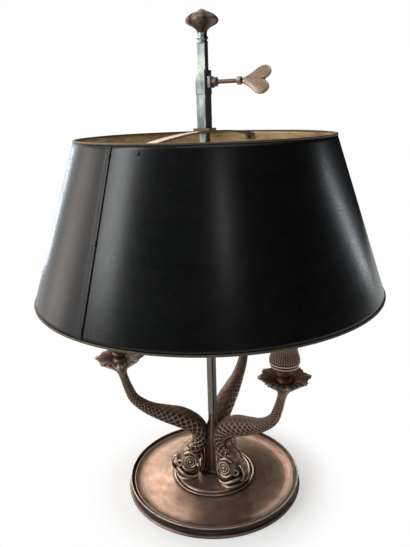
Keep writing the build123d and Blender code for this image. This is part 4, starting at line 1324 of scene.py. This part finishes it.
# %% Shape the key's wing
KEY_HEIGHT, LEAN = 510.75, 25.0
ROOT, TIP = 40.2, 77.2
HEART_MIDDLE = 62.0
heart_half = [
    (42.0, 2.6), (46, 3.4), (50, 5.0), (54, 7.4), (58, 10.6), (62, 14.0), (66, 16.0),
    (70, 16.3), (74, 14.6), (76.8, 11.2), (77.2, 7.2), (75.4, 3.8), (72.8, 1.6),
    (71.6, 0),
]
edge = smooth_through(heart_half, 60)
edge = np.vstack((edge, edge[-2::-1] * (1, -1)))
share = np.sin(np.linspace(0, np.pi / 2, 22))[:, None]
out_along = HEART_MIDDLE + (edge[:, 0] - HEART_MIDDLE) * share
swell = 2.1 * np.sqrt(np.clip(1 - share**4, 0, 1))
front = grid_points(out_along, swell, edge[:, 1] * share)
rows = np.concatenate((front, front[-2::-1] * (1, -1, 1)))
heart = rows.reshape(-1, 3), grid_faces(len(rows), len(edge)).tolist()
collar = roll([(ROOT, 0, 0, 4.3), (42.7, 0, 0, 4.4), (45.4, 0, 0, 4.2)], 24, 24)
wing_skin, wing_faces = melted([heart, collar], 0.38, smoothing=5)
wing_skin[:, 0] = np.clip(wing_skin[:, 0], ROOT, TIP)
wing_relief = carved_relief(wing_skin, wing_faces, rounds=6)[0] + 0.1
lean = np.array(Matrix.Rotation(math.radians(-LEAN), 3, "X"))
wing_skin = wing_skin @ lean.T + np.array((0, 0, KEY_HEIGHT))
wing_mesh = new_mesh("heart_wing", wing_skin, wing_faces, brown_brass, wing_relief)
dressed("heart_wing", wing_mesh, "key", "key_wing")

# %% [markdown]
# ## Pieces that keep their solids
# The rod, slider, collar, hub and spider are plain machined or bent bars, and the solids
# already have their shape. Real edges are never razor sharp, so each gets a small bevel,
# which also gives every edge its bright line. The bevel is a modifier: the solid itself
# isn't changed.

# %% Finishes of the small parts
def even_finish(name, noise, colours, rough, depth=0.0, strength=0.0, **constants):
    """Two colours and two roughnesses, mixed by one noise of (scale, detail)."""

    def make(tree):
        grain = tree.noise(*noise)
        colour, gloss = tree.mix(grain, *colours), rough[0] + grain * rough[1]
        return surface(tree, colour, gloss, grain if depth else None, depth, strength)

    return finish(name, make, **constants)


def cut_felt(tree):
    fibres = tree.noise(2600, 5, 0.8)
    patches = tree.noise(40, 3)
    colour = tree.mix(fibres, (0.012, 0.045, 0.024), (0.040, 0.115, 0.062))
    return surface(
        tree, tree.mix(patches * 0.4, colour, (0.05, 0.075, 0.04)), 0.9 + fibres * 0.1,
        fibres, 0.0006, 0.9,
    )


def ivory(tree):
    clouds = tree.noise(45, 4)
    streaks = tree.streaks((260, 260, 14), 4, 0.6)
    colour = tree.mix(clouds * 0.6 + streaks * 0.4, (0.62, 0.53, 0.36), (0.78, 0.71, 0.55))
    return surface(tree, colour, 0.38 + streaks * 0.18, streaks, 0.0002, 0.3)


GREYS = (0.30, 0.30, 0.30), (0.52, 0.52, 0.50)
DARKS = (0.018, 0.014, 0.012), (0.04, 0.034, 0.03)
YELLOWS = (0.44, 0.30, 0.11), (0.72, 0.54, 0.26)
WHITES = (0.86, 0.85, 0.81), (0.93, 0.92, 0.90)
BROWNS = (0.09, 0.055, 0.028), (0.19, 0.125, 0.07)
COAT = {"Coat Weight": 0.6, "Coat Roughness": 0.1}
steel = even_finish("plated_steel", (120, 4), GREYS, (0.34, 0.2), 0.0001, 0.4, Metallic=0.95)
felt = finish("green_felt", cut_felt, **{"Sheen Weight": 0.4})
dark_plastic = even_finish("dark_moulding", (900, 3), DARKS, (0.42, 0.15), 0.0001, 0.4)
contacts = even_finish("contact_brass", (160, 4), YELLOWS, (0.26, 0.2), 0.0001, 0.3, Metallic=1.0)
candle_ivory = finish("candle_ivory", ivory)
opal_glass = even_finish("opal_glass", (50, 2), WHITES, (0.22, 0.08), **COAT)
flex = even_finish("brown_flex", (800, 3), BROWNS, (0.55, 0.2), 0.0002, 0.5)
by_slot = {
    "silvered_brass": plain_brass,
    "polished_rod": bright_bar,
    "key_brass": turned_brass,
    "black_painted_sheet": satin_paint,
    "gilt_rim": gilt,
    "steel": steel,
    "green_felt": felt,
    "dark_plastic": dark_plastic,
    "brass_contacts": contacts,
    "ivory_plastic": candle_ivory,
    "opal_glass": opal_glass,
    "flex_rubber": flex,
}
# two pieces that look different from the rest of their slot
of_node = {"spider_hub": turned_brass, "shade_rivets": satin_paint}
print("finishes:", len(by_slot))

# %% [markdown]
# Each solid has a slot that says what it is made of. The slot picks the finish, and a short
# table says which solids get a bevel and how wide it is.


# %% Give every remaining solid its finish
def eased(solid, width):
    """Joins the solid's loose corners, bevels its sharp edges and shades it smoothly."""
    weld = solid.modifiers.new("join", "WELD")
    weld.merge_threshold = 0.00001
    bevel = solid.modifiers.new("ease", "BEVEL")
    bevel.width, bevel.segments = width * MM, 2
    bevel.limit_method, bevel.angle_limit = "ANGLE", math.radians(35)
    bevel.use_clamp_overlap = True
    normals = solid.modifiers.new("normals", "WEIGHTED_NORMAL")
    normals.keep_sharp = False


# bevel widths in millimetres
EASING = {"rod": 0.45, "slider_tube": 0.4, "clamp_collar": 0.5, "spider_hub": 0.5, "spider": 0.35}
EASING |= {"column": 0.5, "key_screw": 0.35, "base_washer": 0.2, "base_nut": 0.3}
slot_of = {row["node"]: row["material_slot"] for row in frame["record"]["subparts"]}
kept = [name for name, solid in nodes.items() if not solid.hide_render]
for name in kept:
    solid = nodes[name]
    solid.data.materials.clear()
    solid.data.materials.append(of_node.get(name, by_slot[slot_of[name]]))
    if name in EASING:
        eased(solid, EASING[name])
print(len(kept), "solids keep their shape:", kept)
